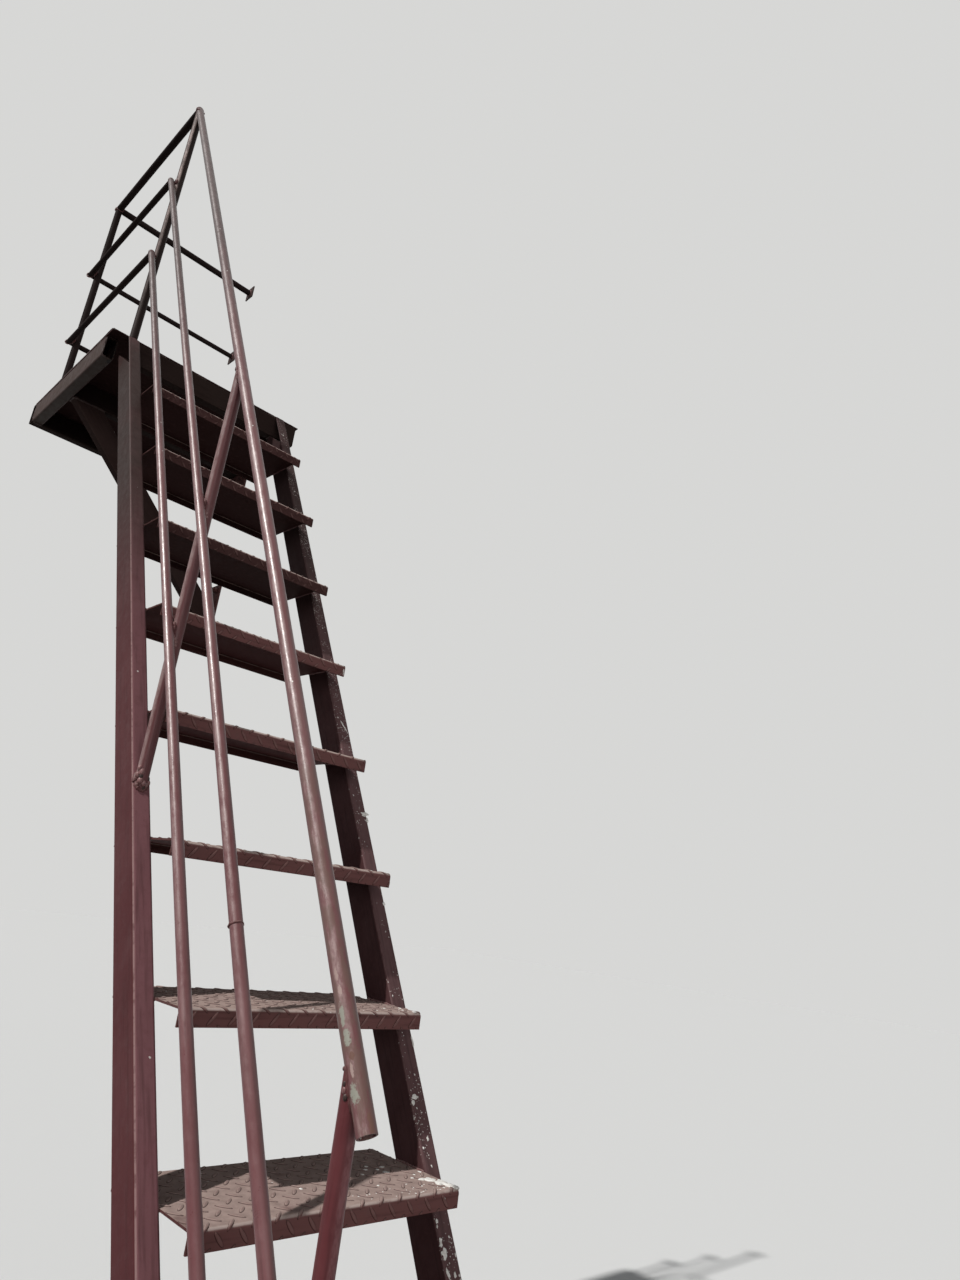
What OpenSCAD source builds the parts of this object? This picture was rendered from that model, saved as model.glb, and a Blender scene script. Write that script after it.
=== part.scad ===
// Steep external steel stair: two box-tube stringers, bent tread plates,
// a small landing held by the wall and a knee brace, and a welded pipe railing.
// Units are millimetres. X = 0 is the wall's face, Y runs along the wall in
// the direction of climb and Z is up. Sizes are set from the ground and from
// the first tread's nosing, and place() then moves all to the wall plate.

/* [Flight] */
// Height of the landing's walking surface above the ground
landing_height = 3288; // [2600:4:3600]
// Rises from the ground to the landing
steps = 12; // [12]
// Horizontal distance from one nosing to the next
going = 167; // [150:1:190]
// Length of a tread between the stringers
tread_width = 540; // [450:5:700]
// Depth of a tread from its nosing to its back edge
tread_depth = 270; // [230:2:290]
// Thickness of the tread's plate
tread_plate = 4; // [3:0.5:6]
// Height of the lip that is bent down at the nosing
tread_lip = 32; // [20:1:50]
// Height of the lip that is bent down at the tread's back edge
tread_back_lip = 24; // [16:1:40]
// Outer radius of the lips' bends
tread_bend = 9; // [7:0.5:14]
// Distance that the treads stand out in front of the stringers
nosing_overhang = 96; // [60:1:110]
// Clear distance from the treads' wall ends to the wall
wall_gap = 100; // [70:1:160]

/* [Box tube] */
// Narrow side of the box tube
box_w = 40; // [30:1:50]
// Wide side of the box tube
box_h = 80; // [60:1:100]
// Wall thickness of the box tube
box_wall = 3; // [2:0.5:5]
// Outer corner radius of the box tube
box_corner = 6; // [5.5:0.5:9]
// Height, below the landing's frame, at which the stringers' upper cut meets their front wall
cut_drop = 66; // [50:1:80]
// Angle of the stringers' upper cut from the level
cut_angle = 33.5; // [28:0.5:36]

/* [Landing] */
// Length of the landing along the wall
landing_length = 790; // [700:5:1200]
// Distance that the landing stands out beyond the treads
landing_overhang = 92; // [60:1:140]
// Distance from the last nosing to the landing's front edge
landing_setback = 98; // [80:1:120]
// Thickness of the landing's floor plate
deck_plate = 4; // [3:0.5:8]
// Distance from the landing's front edge to the outer beam's open end
outer_beam_setback = 55; // [45:1:90]
// Distance from the landing's front edge to the knee brace's middle
brace_setback = 432; // [300:4:560]
// Angle of the knee brace from the level
brace_angle = 45; // [35:1:52]

/* [Railing] */
// Outer diameter of the posts and the handrail
post_od = 26.9; // [21.3:0.1:33.7]
// Wall thickness of the posts and the handrail
post_wall = 2.8; // [2:0.1:3.5]
// Outer diameter of the middle and lower rails
rail_od = 21.3; // [17.2:0.1:26.9]
// Wall thickness of the middle and lower rails
rail_wall = 2.6; // [1.8:0.1:3]
// Height of the handrail's axis above the line of the nosings
handrail_rise = 850; // [780:5:950]
// Height of the middle rail's axis above the line of the nosings
midrail_rise = 480; // [420:5:540]
// Height of the lower rail's axis above the line of the nosings
lowrail_rise = 177; // [140:1:240]
// Height of the landing's handrail axis above its floor
guard_height = 1045; // [950:5:1200]
// Height of the landing's middle rail axis above its floor
midrail_guard = 685; // [600:5:760]
// Height of the landing's lower rail axis above its floor
lowrail_guard = 342; // [290:2:400]
// Distance from the first nosing to the bottom post
bottom_post_y = 155; // [100:1:240]
// Distance from the first nosing to the middle post
middle_post_y = 999; // [800:1:1200]
// Distance from the landing's edges to the axes of its posts
post_inset = 16; // [14:0.5:30]
// Length of the rails beyond the bottom post, measured level
rail_tail = 42; // [20:1:60]
// Clearance left for the weld where round tubes meet
weld_gap = 0.3; // [0.1:0.05:0.6]

/* [Fixings] */
// Thickness of the plates at the wall and the ground
plate_t = 8; // [6:1:12]
// Height of the wall plate below the landing's frame, for its bolts
wall_plate_drop = 130; // [110:1:180]
// Width of the wall plates along the wall
wall_plate_w = 180; // [160:2:240]
// Height of the knee brace's wall plate
brace_plate_h = 240; // [220:2:300]
// Length of a foot plate along the wall
foot_l = 170; // [160:2:220]
// Width of a foot plate
foot_w = 120; // [110:2:140]
// Diameter of the anchor holes
hole_d = 14; // [11:0.5:18]
// Distance from a plate's edge to the middle of its holes
hole_edge = 22; // [16:1:30]
// Side of the square pads that hold the rails to the wall
pad_w = 60; // [50:1:80]
// Thickness of the rails' wall pads
pad_t = 5; // [4:0.5:8]

/* [Hidden] */
$fn = 48;
paint = [0.36, 0.20, 0.20];
floor_paint = [0.45, 0.36, 0.33];

rise = landing_height / steps;
slope = atan2(rise, going);
// Places across the wall
tread_wall_x = -wall_gap;
tread_outer_x = tread_wall_x - tread_width;
stringer_wall_x = tread_wall_x + box_w / 2;
stringer_outer_x = tread_outer_x - box_w / 2;
landing_x = tread_outer_x - landing_overhang;
// Places along the wall
last_nosing_y = (steps - 1) * going;
landing_y = last_nosing_y + landing_setback;
landing_end_y = landing_y + landing_length;
brace_y = landing_y + brace_setback;
// Heights
frame_top = landing_height - deck_plate;
frame_z = frame_top - box_h / 2;
frame_bottom = frame_top - box_h;
wall_plate_z = (frame_top + frame_bottom - wall_plate_drop) / 2;
big = 3 * landing_height;

function nosing_z(y) = rise + y * tan(slope);
function unit(v) = v / norm(v);

// Moves everything from the ground's frame to the middle of the wall plate's back
module place() translate([0, -brace_y, -wall_plate_z]) children();

// Puts children that are drawn up from the origin along the line from p to q
module along(p, q) {
    d = q - p;
    translate(p) rotate([0, acos(d[2] / norm(d)), atan2(d[1], d[0])]) children();
}

// All space on the side of p that n points to
module half_space(p, n) along(p, p + n) translate([-big, -big, 0]) cube([2 * big, 2 * big, 2 * big]);

module round_square(w, h, r) {
    square([w - 2 * r, h], center = true);
    square([w, h - 2 * r], center = true);
    for (x = [-1, 1], y = [-1, 1])
        translate([x * (w / 2 - r), y * (h / 2 - r)]) circle(r);
}

module box_section() difference() {
    round_square(box_w, box_h, box_corner);
    round_square(box_w - 2 * box_wall, box_h - 2 * box_wall, box_corner - box_wall);
}

// Box tube along X, with its narrow side level
module beam_x(x0, x1, y, z) translate([x0, y, z]) rotate([90, 0, 90]) linear_extrude(x1 - x0) box_section();

// Box tube along Y, with its narrow side level
module beam_y(y0, y1, x, z) translate([x, y0, z]) rotate([-90, 0, 0]) linear_extrude(y1 - y0) box_section();

module pipe(p, q, od, wall) along(p, q) difference() {
    cylinder(d = od, h = norm(q - p));
    translate([0, 0, -1]) cylinder(d = od - 2 * wall, h = norm(q - p) + 2);
}

// Straight piece i of a welded run of pipe, mitred where it meets its neighbours
module run_piece(points, i, od, wall) {
    a = points[i];
    b = points[i + 1];
    d = unit(b - a);
    first = i == 0;
    last = i + 2 == len(points);
    difference() {
        pipe(a - (first ? 0 : od) * d, b + (last ? 0 : od) * d, od, wall);
        if (!first) half_space(a, -(d + unit(a - points[i - 1])));
        if (!last) half_space(b, d + unit(points[i + 2] - b));
    }
}

// Route of a rail: up the flight, along the landing's outer side, and to the wall
rail_start_y = bottom_post_y - rail_tail;
post_x = stringer_outer_x;
post_far_y = landing_end_y - post_inset;
side_offset = (post_od + rail_od) / 2 + weld_gap;
function rail_route(over_nosings, over_floor, offset) = [
    [post_x - offset, rail_start_y, nosing_z(rail_start_y) + over_nosings],
    [post_x - offset, (landing_height + over_floor - over_nosings - rise) / tan(slope), landing_height + over_floor],
    [post_x - offset, post_far_y + offset, landing_height + over_floor],
    [-pad_t, post_far_y + offset, landing_height + over_floor]
];
handrail_route = rail_route(handrail_rise, guard_height, 0);
midrail_route = rail_route(midrail_rise, midrail_guard, side_offset);
lowrail_route = rail_route(lowrail_rise, lowrail_guard, side_offset);

// Stringer: its lower end is cut level on the foot plate. Its upper end is cut back along a
// slope, and its front wall alone runs on as a tongue to the landing's front edge
module stringer(x, top) {
    face_y = nosing_overhang;
    mid_y = face_y + box_h / 2 / sin(slope);
    low = [x, mid_y - (rise - plate_t) / tan(slope), plate_t];
    dir = [0, cos(slope), sin(slope)];
    length = (landing_height + box_h) / sin(slope);
    cut_z = frame_bottom - cut_drop;
    cut = [x, face_y + (cut_z - rise) / tan(slope), cut_z];
    intersection() {
        translate(low - 2 * box_h * dir) rotate([slope - 90, 0, 0]) linear_extrude(length + 3 * box_h) box_section();
        difference() {
            translate([x - box_w, -big, plate_t]) cube([2 * box_w, 2 * big, landing_height - plate_t]);
            difference() {
                union() {
                    half_space(cut, [0, -sin(cut_angle), cos(cut_angle)]);
                    half_space([x, 0, top], [0, 0, 1]);
                }
                tongue_space(x);
            }
        }
    }
}

// The slice of space that a stringer's front wall fills in front of the landing
module tongue_space(x) intersection() {
    translate([x, nosing_overhang, rise]) rotate([slope - 90, 0, 0])
        translate([-box_w, 0, 0]) cube([2 * box_w, box_wall, big / 2]);
    translate([x - box_w, -big, frame_bottom - 2 * box_h]) cube([2 * box_w, big + landing_y, 4 * box_h]);
}

// Section of a tread plate: nosing at the origin, top at zero, a lip bent down at each edge
module tread_section() {
    translate([tread_bend, -tread_plate]) square([tread_depth - 2 * tread_bend, tread_plate]);
    lip_section(tread_lip);
    translate([tread_depth, 0]) mirror([1, 0]) lip_section(tread_back_lip);
}

module lip_section(lip) {
    translate([0, -lip]) square([tread_plate, lip - tread_bend]);
    intersection() {
        translate([0, -tread_bend]) square(tread_bend);
        translate([tread_bend, -tread_bend]) difference() {
            circle(tread_bend);
            circle(tread_bend - tread_plate);
        }
    }
}

module tread(i) color(floor_paint) place()
    translate([tread_outer_x, (i - 1) * going, i * rise])
    rotate([90, 0, 90]) linear_extrude(tread_width) tread_section();

// Upright pipe from the stringer's face up to the underside of the handrail
module flight_post(y) color(paint) place() difference() {
    pipe([post_x, y, rise], [post_x, y, nosing_z(y) + handrail_rise + post_od], post_od, post_wall);
    half_space([post_x, y, nosing_z(y - nosing_overhang)], [0, sin(slope), -cos(slope)]);
    rail_shadow(handrail_route, 0);
}

module landing_post(y) color(paint) place() difference() {
    pipe([post_x, y, landing_height], [post_x, y, landing_height + guard_height + post_od], post_od, post_wall);
    rail_shadow(handrail_route, 0);
    rail_shadow(handrail_route, 1);
    rail_shadow(handrail_route, 2);
}

// All that a post loses to the handrail above it: the rail with its weld gap, and what is over it
module rail_shadow(route, i) {
    a = route[i];
    b = route[i + 1];
    d = unit(b - a);
    up = unit([0, 0, 1] - d[2] * d);
    along(a - post_od * d, b + post_od * d) cylinder(d = post_od + 2 * weld_gap, h = norm(b - a) + 2 * post_od);
    intersection() {
        half_space(a, up);
        half_space(a - post_od * d, d);
        half_space(b + post_od * d, -d);
    }
}

// Plate against the wall with a hole near each corner of its bolt field
module wall_fixing(y, z0, z1, hole_z0, hole_z1) difference() {
    translate([-plate_t, y - wall_plate_w / 2, z0]) cube([plate_t, wall_plate_w, z1 - z0]);
    for (dy = [-1, 1], z = [hole_z0, hole_z1])
        translate([-plate_t - 1, y + dy * (wall_plate_w / 2 - hole_edge), z])
            rotate([0, 90, 0]) cylinder(d = hole_d, h = plate_t + 2);
}

module foot_plate(x) color(paint) place() {
    face_y = nosing_overhang - (rise - plate_t) / tan(slope);
    mid_y = face_y + box_h / 2 / sin(slope);
    difference() {
        translate([x - foot_w / 2, mid_y - foot_l / 2, 0]) cube([foot_w, foot_l, plate_t]);
        for (dx = [-1, 1], dy = [-1, 1])
            translate([x + dx * (foot_w / 2 - hole_edge), mid_y + dy * (foot_l / 2 - hole_edge), -1])
                cylinder(d = hole_d, h = plate_t + 2);
    }
}

// The outer stringer stands beside the front beam's end, the wall stringer under the beam
module stringer_outer() color(paint) place() stringer(stringer_outer_x, frame_top);
module stringer_wall() color(paint) place() stringer(stringer_wall_x, frame_bottom);

module tread_01() tread(1);
module tread_02() tread(2);
module tread_03() tread(3);
module tread_04() tread(4);
module tread_05() tread(5);
module tread_06() tread(6);
module tread_07() tread(7);
module tread_08() tread(8);
module tread_09() tread(9);
module tread_10() tread(10);
module tread_11() tread(11);

module landing_floor() color(floor_paint) place()
    translate([landing_x, landing_y, frame_top]) cube([-landing_x, landing_length, deck_plate]);

module landing_front_beam() color(paint) place() beam_x(tread_outer_x, -plate_t, landing_y + box_w / 2, frame_z);
module landing_far_beam() color(paint) place() beam_x(landing_x, -plate_t, landing_end_y - box_w / 2, frame_z);
module landing_outer_beam() color(paint) place()
    beam_y(landing_y + outer_beam_setback, landing_end_y - box_w, landing_x + box_w / 2, frame_z);
module landing_wall_beam() color(paint) place()
    beam_y(landing_y + box_w, landing_end_y - box_w, -plate_t - box_w / 2, frame_z);
module landing_cross_beam() color(paint) place() beam_x(landing_x + box_w, -plate_t - box_w, brace_y, frame_z);

// Knee brace: its lower face starts at the outer beam and its ends are cut to the frame and the plate
module knee_brace() color(paint) place() {
    corner = [landing_x + box_w, brace_y, frame_bottom];
    dir = [cos(brace_angle), 0, -sin(brace_angle)];
    middle = corner + box_h / 2 * [sin(brace_angle), 0, cos(brace_angle)];
    difference() {
        translate(middle - 2 * box_h * dir) rotate([0, 90 + brace_angle, 0]) rotate([0, 0, 90])
            linear_extrude(-landing_x / cos(brace_angle) + 3 * box_h) box_section();
        translate([-big, -big, frame_bottom]) cube(2 * big);
        translate([-plate_t, -big, -big]) cube(2 * big);
    }
}

module wall_plate() color(paint) place()
    wall_fixing(brace_y, frame_bottom - wall_plate_drop, frame_top,
        frame_bottom - wall_plate_drop + hole_edge, frame_bottom - hole_edge);

module brace_plate() color(paint) place() {
    z = frame_bottom + (landing_x + box_w + plate_t) * tan(brace_angle) + box_h / 2 / cos(brace_angle);
    wall_fixing(brace_y, z - brace_plate_h / 2, z + brace_plate_h / 2,
        z - brace_plate_h / 2 + hole_edge, z + brace_plate_h / 2 - hole_edge);
}

module foot_plate_outer() foot_plate(stringer_outer_x);
module foot_plate_wall() foot_plate(stringer_wall_x);

module post_bottom() flight_post(bottom_post_y);
module post_middle() flight_post(middle_post_y);
module post_landing_near() landing_post(landing_y + post_inset);
module post_landing_far() landing_post(post_far_y);

module handrail_flight() color(paint) place() run_piece(handrail_route, 0, post_od, post_wall);
module handrail_side() color(paint) place() run_piece(handrail_route, 1, post_od, post_wall);
module handrail_end() color(paint) place() run_piece(handrail_route, 2, post_od, post_wall);
module midrail_flight() color(paint) place() run_piece(midrail_route, 0, rail_od, rail_wall);
module midrail_side() color(paint) place() run_piece(midrail_route, 1, rail_od, rail_wall);
module midrail_end() color(paint) place() run_piece(midrail_route, 2, rail_od, rail_wall);
module lowrail_flight() color(paint) place() run_piece(lowrail_route, 0, rail_od, rail_wall);
module lowrail_side() color(paint) place() run_piece(lowrail_route, 1, rail_od, rail_wall);
module lowrail_end() color(paint) place() run_piece(lowrail_route, 2, rail_od, rail_wall);

module rail_wall_pads() color(paint) place()
    for (route = [handrail_route, midrail_route, lowrail_route])
        translate([-pad_t, route[3][1] - pad_w / 2, route[3][2] - pad_w / 2]) cube([pad_t, pad_w, pad_w]);

stringer_outer();
stringer_wall();
tread_01();
tread_02();
tread_03();
tread_04();
tread_05();
tread_06();
tread_07();
tread_08();
tread_09();
tread_10();
tread_11();
landing_floor();
landing_front_beam();
landing_far_beam();
landing_outer_beam();
landing_wall_beam();
landing_cross_beam();
knee_brace();
wall_plate();
brace_plate();
foot_plate_outer();
foot_plate_wall();
post_bottom();
post_middle();
post_landing_near();
post_landing_far();
handrail_flight();
handrail_side();
handrail_end();
midrail_flight();
midrail_side();
midrail_end();
lowrail_flight();
lowrail_side();
lowrail_end();
rail_wall_pads();
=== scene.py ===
"""Looks of a steep external steel stair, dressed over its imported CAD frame.

Units are metres in the CAD frame: X = 0 is the wall's face, Y runs along the
wall in the direction of climb, and Z is up from the middle of the wall plate.
"""

import logging
import math
import random
from collections.abc import Iterable, Sequence
from dataclasses import dataclass, field, replace
from enum import Enum

import bpy
from mathutils import Matrix, Vector


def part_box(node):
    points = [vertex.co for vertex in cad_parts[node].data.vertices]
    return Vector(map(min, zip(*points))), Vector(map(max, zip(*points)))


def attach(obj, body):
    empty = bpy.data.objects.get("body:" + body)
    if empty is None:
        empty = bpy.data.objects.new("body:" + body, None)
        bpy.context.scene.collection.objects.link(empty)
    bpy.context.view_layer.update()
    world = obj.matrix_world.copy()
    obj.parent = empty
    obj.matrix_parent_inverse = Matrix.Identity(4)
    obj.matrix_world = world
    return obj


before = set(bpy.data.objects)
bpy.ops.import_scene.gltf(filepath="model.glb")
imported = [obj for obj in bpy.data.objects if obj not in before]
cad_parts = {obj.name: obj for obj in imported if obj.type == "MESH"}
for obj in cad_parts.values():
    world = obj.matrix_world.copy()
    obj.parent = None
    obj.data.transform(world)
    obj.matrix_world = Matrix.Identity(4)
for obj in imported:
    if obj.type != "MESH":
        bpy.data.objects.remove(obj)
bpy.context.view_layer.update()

LOG = logging.getLogger("stair")
BODY = "root"
MM = 0.001
Colour = tuple[float, float, float]
Point = Sequence[float]
Piece = bpy.types.Object
Material = bpy.types.Material
Socket = bpy.types.NodeSocket
Tree = bpy.types.NodeTree
ACROSS, ALONG, UP = Vector((1, 0, 0)), Vector((0, 1, 0)), Vector((0, 0, 1))


class Slot(Enum):
    """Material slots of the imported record."""

    FRAME = "frame_paint"
    TREAD = "tread_paint"
    PLATE = "plate_paint"
    RAIL = "rail_paint"


class Run(Enum):
    """Direction in which a member runs, which its brush marks follow."""

    LEVEL_X = "x"
    LEVEL_Y = "y"
    SLOPE = "slope"
    UPRIGHT = "upright"
    BRACE = "brace"


@dataclass(frozen=True)
class StairSizes:
    """Sizes that the looks share with the CAD source, in metres."""

    rise: float = 0.274
    going: float = 0.167
    overhang: float = 0.096
    plate: float = 0.004
    lip: float = 0.032
    bend: float = 0.009
    box_h: float = 0.080
    post_r: float = 0.01345
    rail_r: float = 0.01065
    hole_edge: float = 0.022

    @property
    def slope(self) -> float:
        """Angle of the flight from the level."""
        return math.atan2(self.rise, self.going)

    @property
    def climb(self) -> Vector:
        """Unit direction up the flight."""
        return Vector((0.0, math.cos(self.slope), math.sin(self.slope)))

    @property
    def front(self) -> Vector:
        """Unit direction that the stringers' front faces look in."""
        return Vector((0.0, -math.sin(self.slope), math.cos(self.slope)))

    @property
    def box_run(self) -> float:
        """Size of a stringer along Y at one height."""
        return self.box_h / math.sin(self.slope)

    def front_y(self, z: float) -> float:
        """Returns where the stringers' front faces are along Y at a height."""
        low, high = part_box("tread_01")
        return low.y + self.overhang + (z - high.z) / math.tan(self.slope)

    def front_z(self, y: float) -> float:
        """Returns how high the stringers' front faces are at a place along Y."""
        low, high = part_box("tread_01")
        return high.z + (y - self.overhang - low.y) * math.tan(self.slope)


SIZES = StairSizes()
TREADS = [f"tread_{number:02d}" for number in range(1, 12)]


def axis_of(name: str) -> Vector:
    """Returns the middle of a node's box."""
    low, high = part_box(name)
    return (low + high) / 2


def circle(count: int) -> list[tuple[float, float]]:
    """Returns the cosines and sines of even turns round a circle."""
    turns = [2 * math.pi * number / count for number in range(count)]
    return [(math.cos(turn), math.sin(turn)) for turn in turns]


def only(*pieces: Piece) -> Piece:
    """Selects pieces, with everything else deselected, and makes the first one active.

    Args:
        pieces: The pieces.

    Returns:
        The first piece.
    """
    bpy.ops.object.select_all(action="DESELECT")
    for piece in pieces:
        piece.select_set(True)
    bpy.context.view_layer.objects.active = pieces[0]
    return pieces[0]


def settle(piece: Piece) -> Piece:
    """Moves a piece's place, turn and scale into its mesh.

    Args:
        piece: The piece.

    Returns:
        The same piece.
    """
    only(piece)
    bpy.ops.object.transform_apply(location=True, rotation=True, scale=True)
    return piece


def join(pieces: Sequence[Piece]) -> Piece:
    """Joins several pieces into the first.

    Args:
        pieces: The pieces.

    Returns:
        The first piece.
    """
    first = only(*pieces)
    if len(pieces) > 1:
        bpy.ops.object.join()
    return first


def copy_of(piece: Piece) -> Piece:
    """Copies a piece with its mesh.

    Args:
        piece: The piece.

    Returns:
        The copy.
    """
    twin = piece.copy()
    twin.data = piece.data.copy()
    bpy.context.collection.objects.link(twin)
    return twin


def modify(piece: Piece, kind: str, **settings: object) -> None:
    """Adds a modifier to a piece and applies it.

    Args:
        piece: The piece.
        kind: The modifier's type.
        settings: Its properties.
    """
    modifier = piece.modifiers.new(kind, kind)
    for key, value in settings.items():
        setattr(modifier, key, value)
    only(piece)
    bpy.ops.object.modifier_apply(modifier=modifier.name)


def cylinder(sides: int, radius: float, low: float, high: float) -> Piece:
    """Builds a cylinder round Z.

    Args:
        sides: How many sides it has.
        radius: Its radius.
        low: The height of its lower end.
        high: The height of its upper end.

    Returns:
        The cylinder.
    """
    middle = (0, 0, (low + high) / 2)
    bpy.ops.mesh.primitive_cylinder_add(vertices=sides, radius=radius, depth=high - low, location=middle)
    return settle(bpy.context.object)


def trim(piece: Piece, place: Point, outward: Vector) -> None:
    """Cuts away what lies beyond a plane and closes the cut.

    Args:
        piece: A piece of closed shells.
        place: A point of the plane.
        outward: The side that is cut away.
    """
    only(piece)
    bpy.ops.object.mode_set(mode="EDIT")
    bpy.ops.mesh.select_all(action="SELECT")
    bpy.ops.mesh.bisect(plane_co=place, plane_no=outward, use_fill=True, clear_outer=True)
    bpy.ops.object.mode_set(mode="OBJECT")


def finish_piece(
    piece: Piece, name: str, material: Material, smooth: float = 40.0
) -> None:
    """Names, dresses and fixes a piece to the stair.

    Args:
        piece: The piece in its place.
        name: Its name.
        material: Its finish.
        smooth: Largest angle in degrees that is shaded smooth.
    """
    piece.name = name
    settle(piece)
    bpy.ops.object.shade_smooth_by_angle(angle=math.radians(smooth))
    piece.data.materials.clear()
    piece.data.materials.append(material)
    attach(piece, BODY)
    LOG.info("%s: %d faces", name, len(piece.data.polygons))


@dataclass(frozen=True)
class Pattern:
    """A value that varies over a surface. Results of its arithmetic are held between 0 and 1."""

    graph: "Graph"
    socket: Socket

    def __add__(self, other: "Pattern | float") -> "Pattern":
        """Returns the sum."""
        return self.graph.math("ADD", self, other)

    def __sub__(self, other: "Pattern | float") -> "Pattern":
        """Returns the difference."""
        return self.graph.math("SUBTRACT", self, other)

    def __rsub__(self, other: float) -> "Pattern":
        """Returns a number less this value."""
        return self.graph.math("SUBTRACT", other, self)

    def __mul__(self, other: "Pattern | float") -> "Pattern":
        """Returns the product."""
        return self.graph.math("MULTIPLY", self, other)

    def ramp(self, low: float, high: float) -> "Pattern":
        """Returns a value that rises smoothly from 0 at low to 1 at high."""
        inputs = {"Value": self, "From Min": low, "From Max": high}
        return self.graph.pattern("MapRange", inputs, "Result", interpolation_type="SMOOTHSTEP")


Value = Pattern | Socket | float | Point


class Graph:
    """A material's node tree, with short calls for what the finishes share."""

    def __init__(self, name: str) -> None:
        """Starts a tree with a Principled shader at its end.

        Args:
            name: The material's name.
        """
        self.material = bpy.data.materials.new(name)
        self.material.use_nodes = True
        self.tree = self.material.node_tree
        self.tree.nodes.clear()
        self.shader = self.node("BsdfPrincipled", {})
        self.node("OutputMaterial", {"Surface": self.shader.outputs["BSDF"]})
        coordinates = self.node("TexCoord", {}).outputs
        self.place, self.normal = coordinates["Object"], coordinates["Normal"]

    def connect(self, value: Value, socket: Socket) -> None:
        """Links a value to an input, or sets the input to it.

        Args:
            value: The value.
            socket: The input.
        """
        if isinstance(value, Pattern):
            value = value.socket
        if isinstance(value, Socket):
            self.tree.links.new(value, socket)
        else:
            socket.default_value = (*value, 1.0) if socket.type == "RGBA" else value

    def node(self, kind: str, inputs: dict[str | int, Value], **settings: object) -> bpy.types.Node:
        """Adds a node.

        Args:
            kind: The node's type after "ShaderNode".
            inputs: Values for its inputs.
            settings: Its own properties.

        Returns:
            The node.
        """
        made = self.tree.nodes.new(f"ShaderNode{kind}")
        for key, value in settings.items():
            setattr(made, key, value)
        for key, value in inputs.items():
            self.connect(value, made.inputs[key])
        return made

    def pattern(
        self, kind: str, inputs: dict[str | int, Value], output: str | int, **settings: object
    ) -> Pattern:
        """Adds a node as node() does, and returns one of its outputs."""
        return Pattern(self, self.node(kind, inputs, **settings).outputs[output])

    def math(self, operation: str, *terms: Value, clamp: bool = True) -> Pattern:
        """Returns the result of an operation."""
        return self.pattern("Math", dict(enumerate(terms)), 0, operation=operation, use_clamp=clamp)

    def noise(
        self, scale: float, detail: float = 4.0, rough: float = 0.55, place: Value | None = None
    ) -> Pattern:
        """Returns noise between 0 and 1."""
        inputs = {"Vector": place or self.place, "Scale": scale, "Detail": detail, "Roughness": rough}
        return self.pattern("TexNoise", inputs, "Fac")

    def mix(self, share: Pattern, first: Value, second: Value) -> Pattern:
        """Returns a colour that goes from the first to the second with the share."""
        return self.pattern("Mix", {0: share, 6: first, 7: second}, 2, data_type="RGBA")

    def bump(self, height: Pattern, strength: float, distance: float) -> Pattern:
        """Returns the surface's direction with fine relief."""
        return self.pattern("Bump", {"Height": height, "Strength": strength, "Distance": distance}, "Normal")

    def close(self, inputs: dict[str, Value]) -> Material:
        """Connects the shader's inputs.

        Args:
            inputs: Values for them.

        Returns:
            The material.
        """
        for key, value in inputs.items():
            self.connect(value, self.shader.inputs[key])
        return self.material


LENGTHWISE, CROSSWISE = 7.0, 120.0
# For each run, the turn that brings a member upright, and how densely its brush marks lie along each axis.
BRUSH = {
    Run.LEVEL_X: ((0, 0, 0), (LENGTHWISE, CROSSWISE, CROSSWISE)),
    Run.LEVEL_Y: ((0, 0, 0), (CROSSWISE, LENGTHWISE, CROSSWISE)),
    Run.UPRIGHT: ((0, 0, 0), (CROSSWISE, CROSSWISE, LENGTHWISE)),
    Run.SLOPE: ((math.pi / 2 - SIZES.slope, 0, 0), (CROSSWISE, CROSSWISE, LENGTHWISE)),
    Run.BRACE: ((0, math.pi / 4, 0), (CROSSWISE, CROSSWISE, LENGTHWISE)),
}


@dataclass(frozen=True)
class Patch:
    """An oval on a member, of worn paint or of painted shade: its middle on the surface, half sizes in
    metres, and its colour.
    """

    middle: Point
    long: float
    wide: float
    colour: Colour


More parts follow.
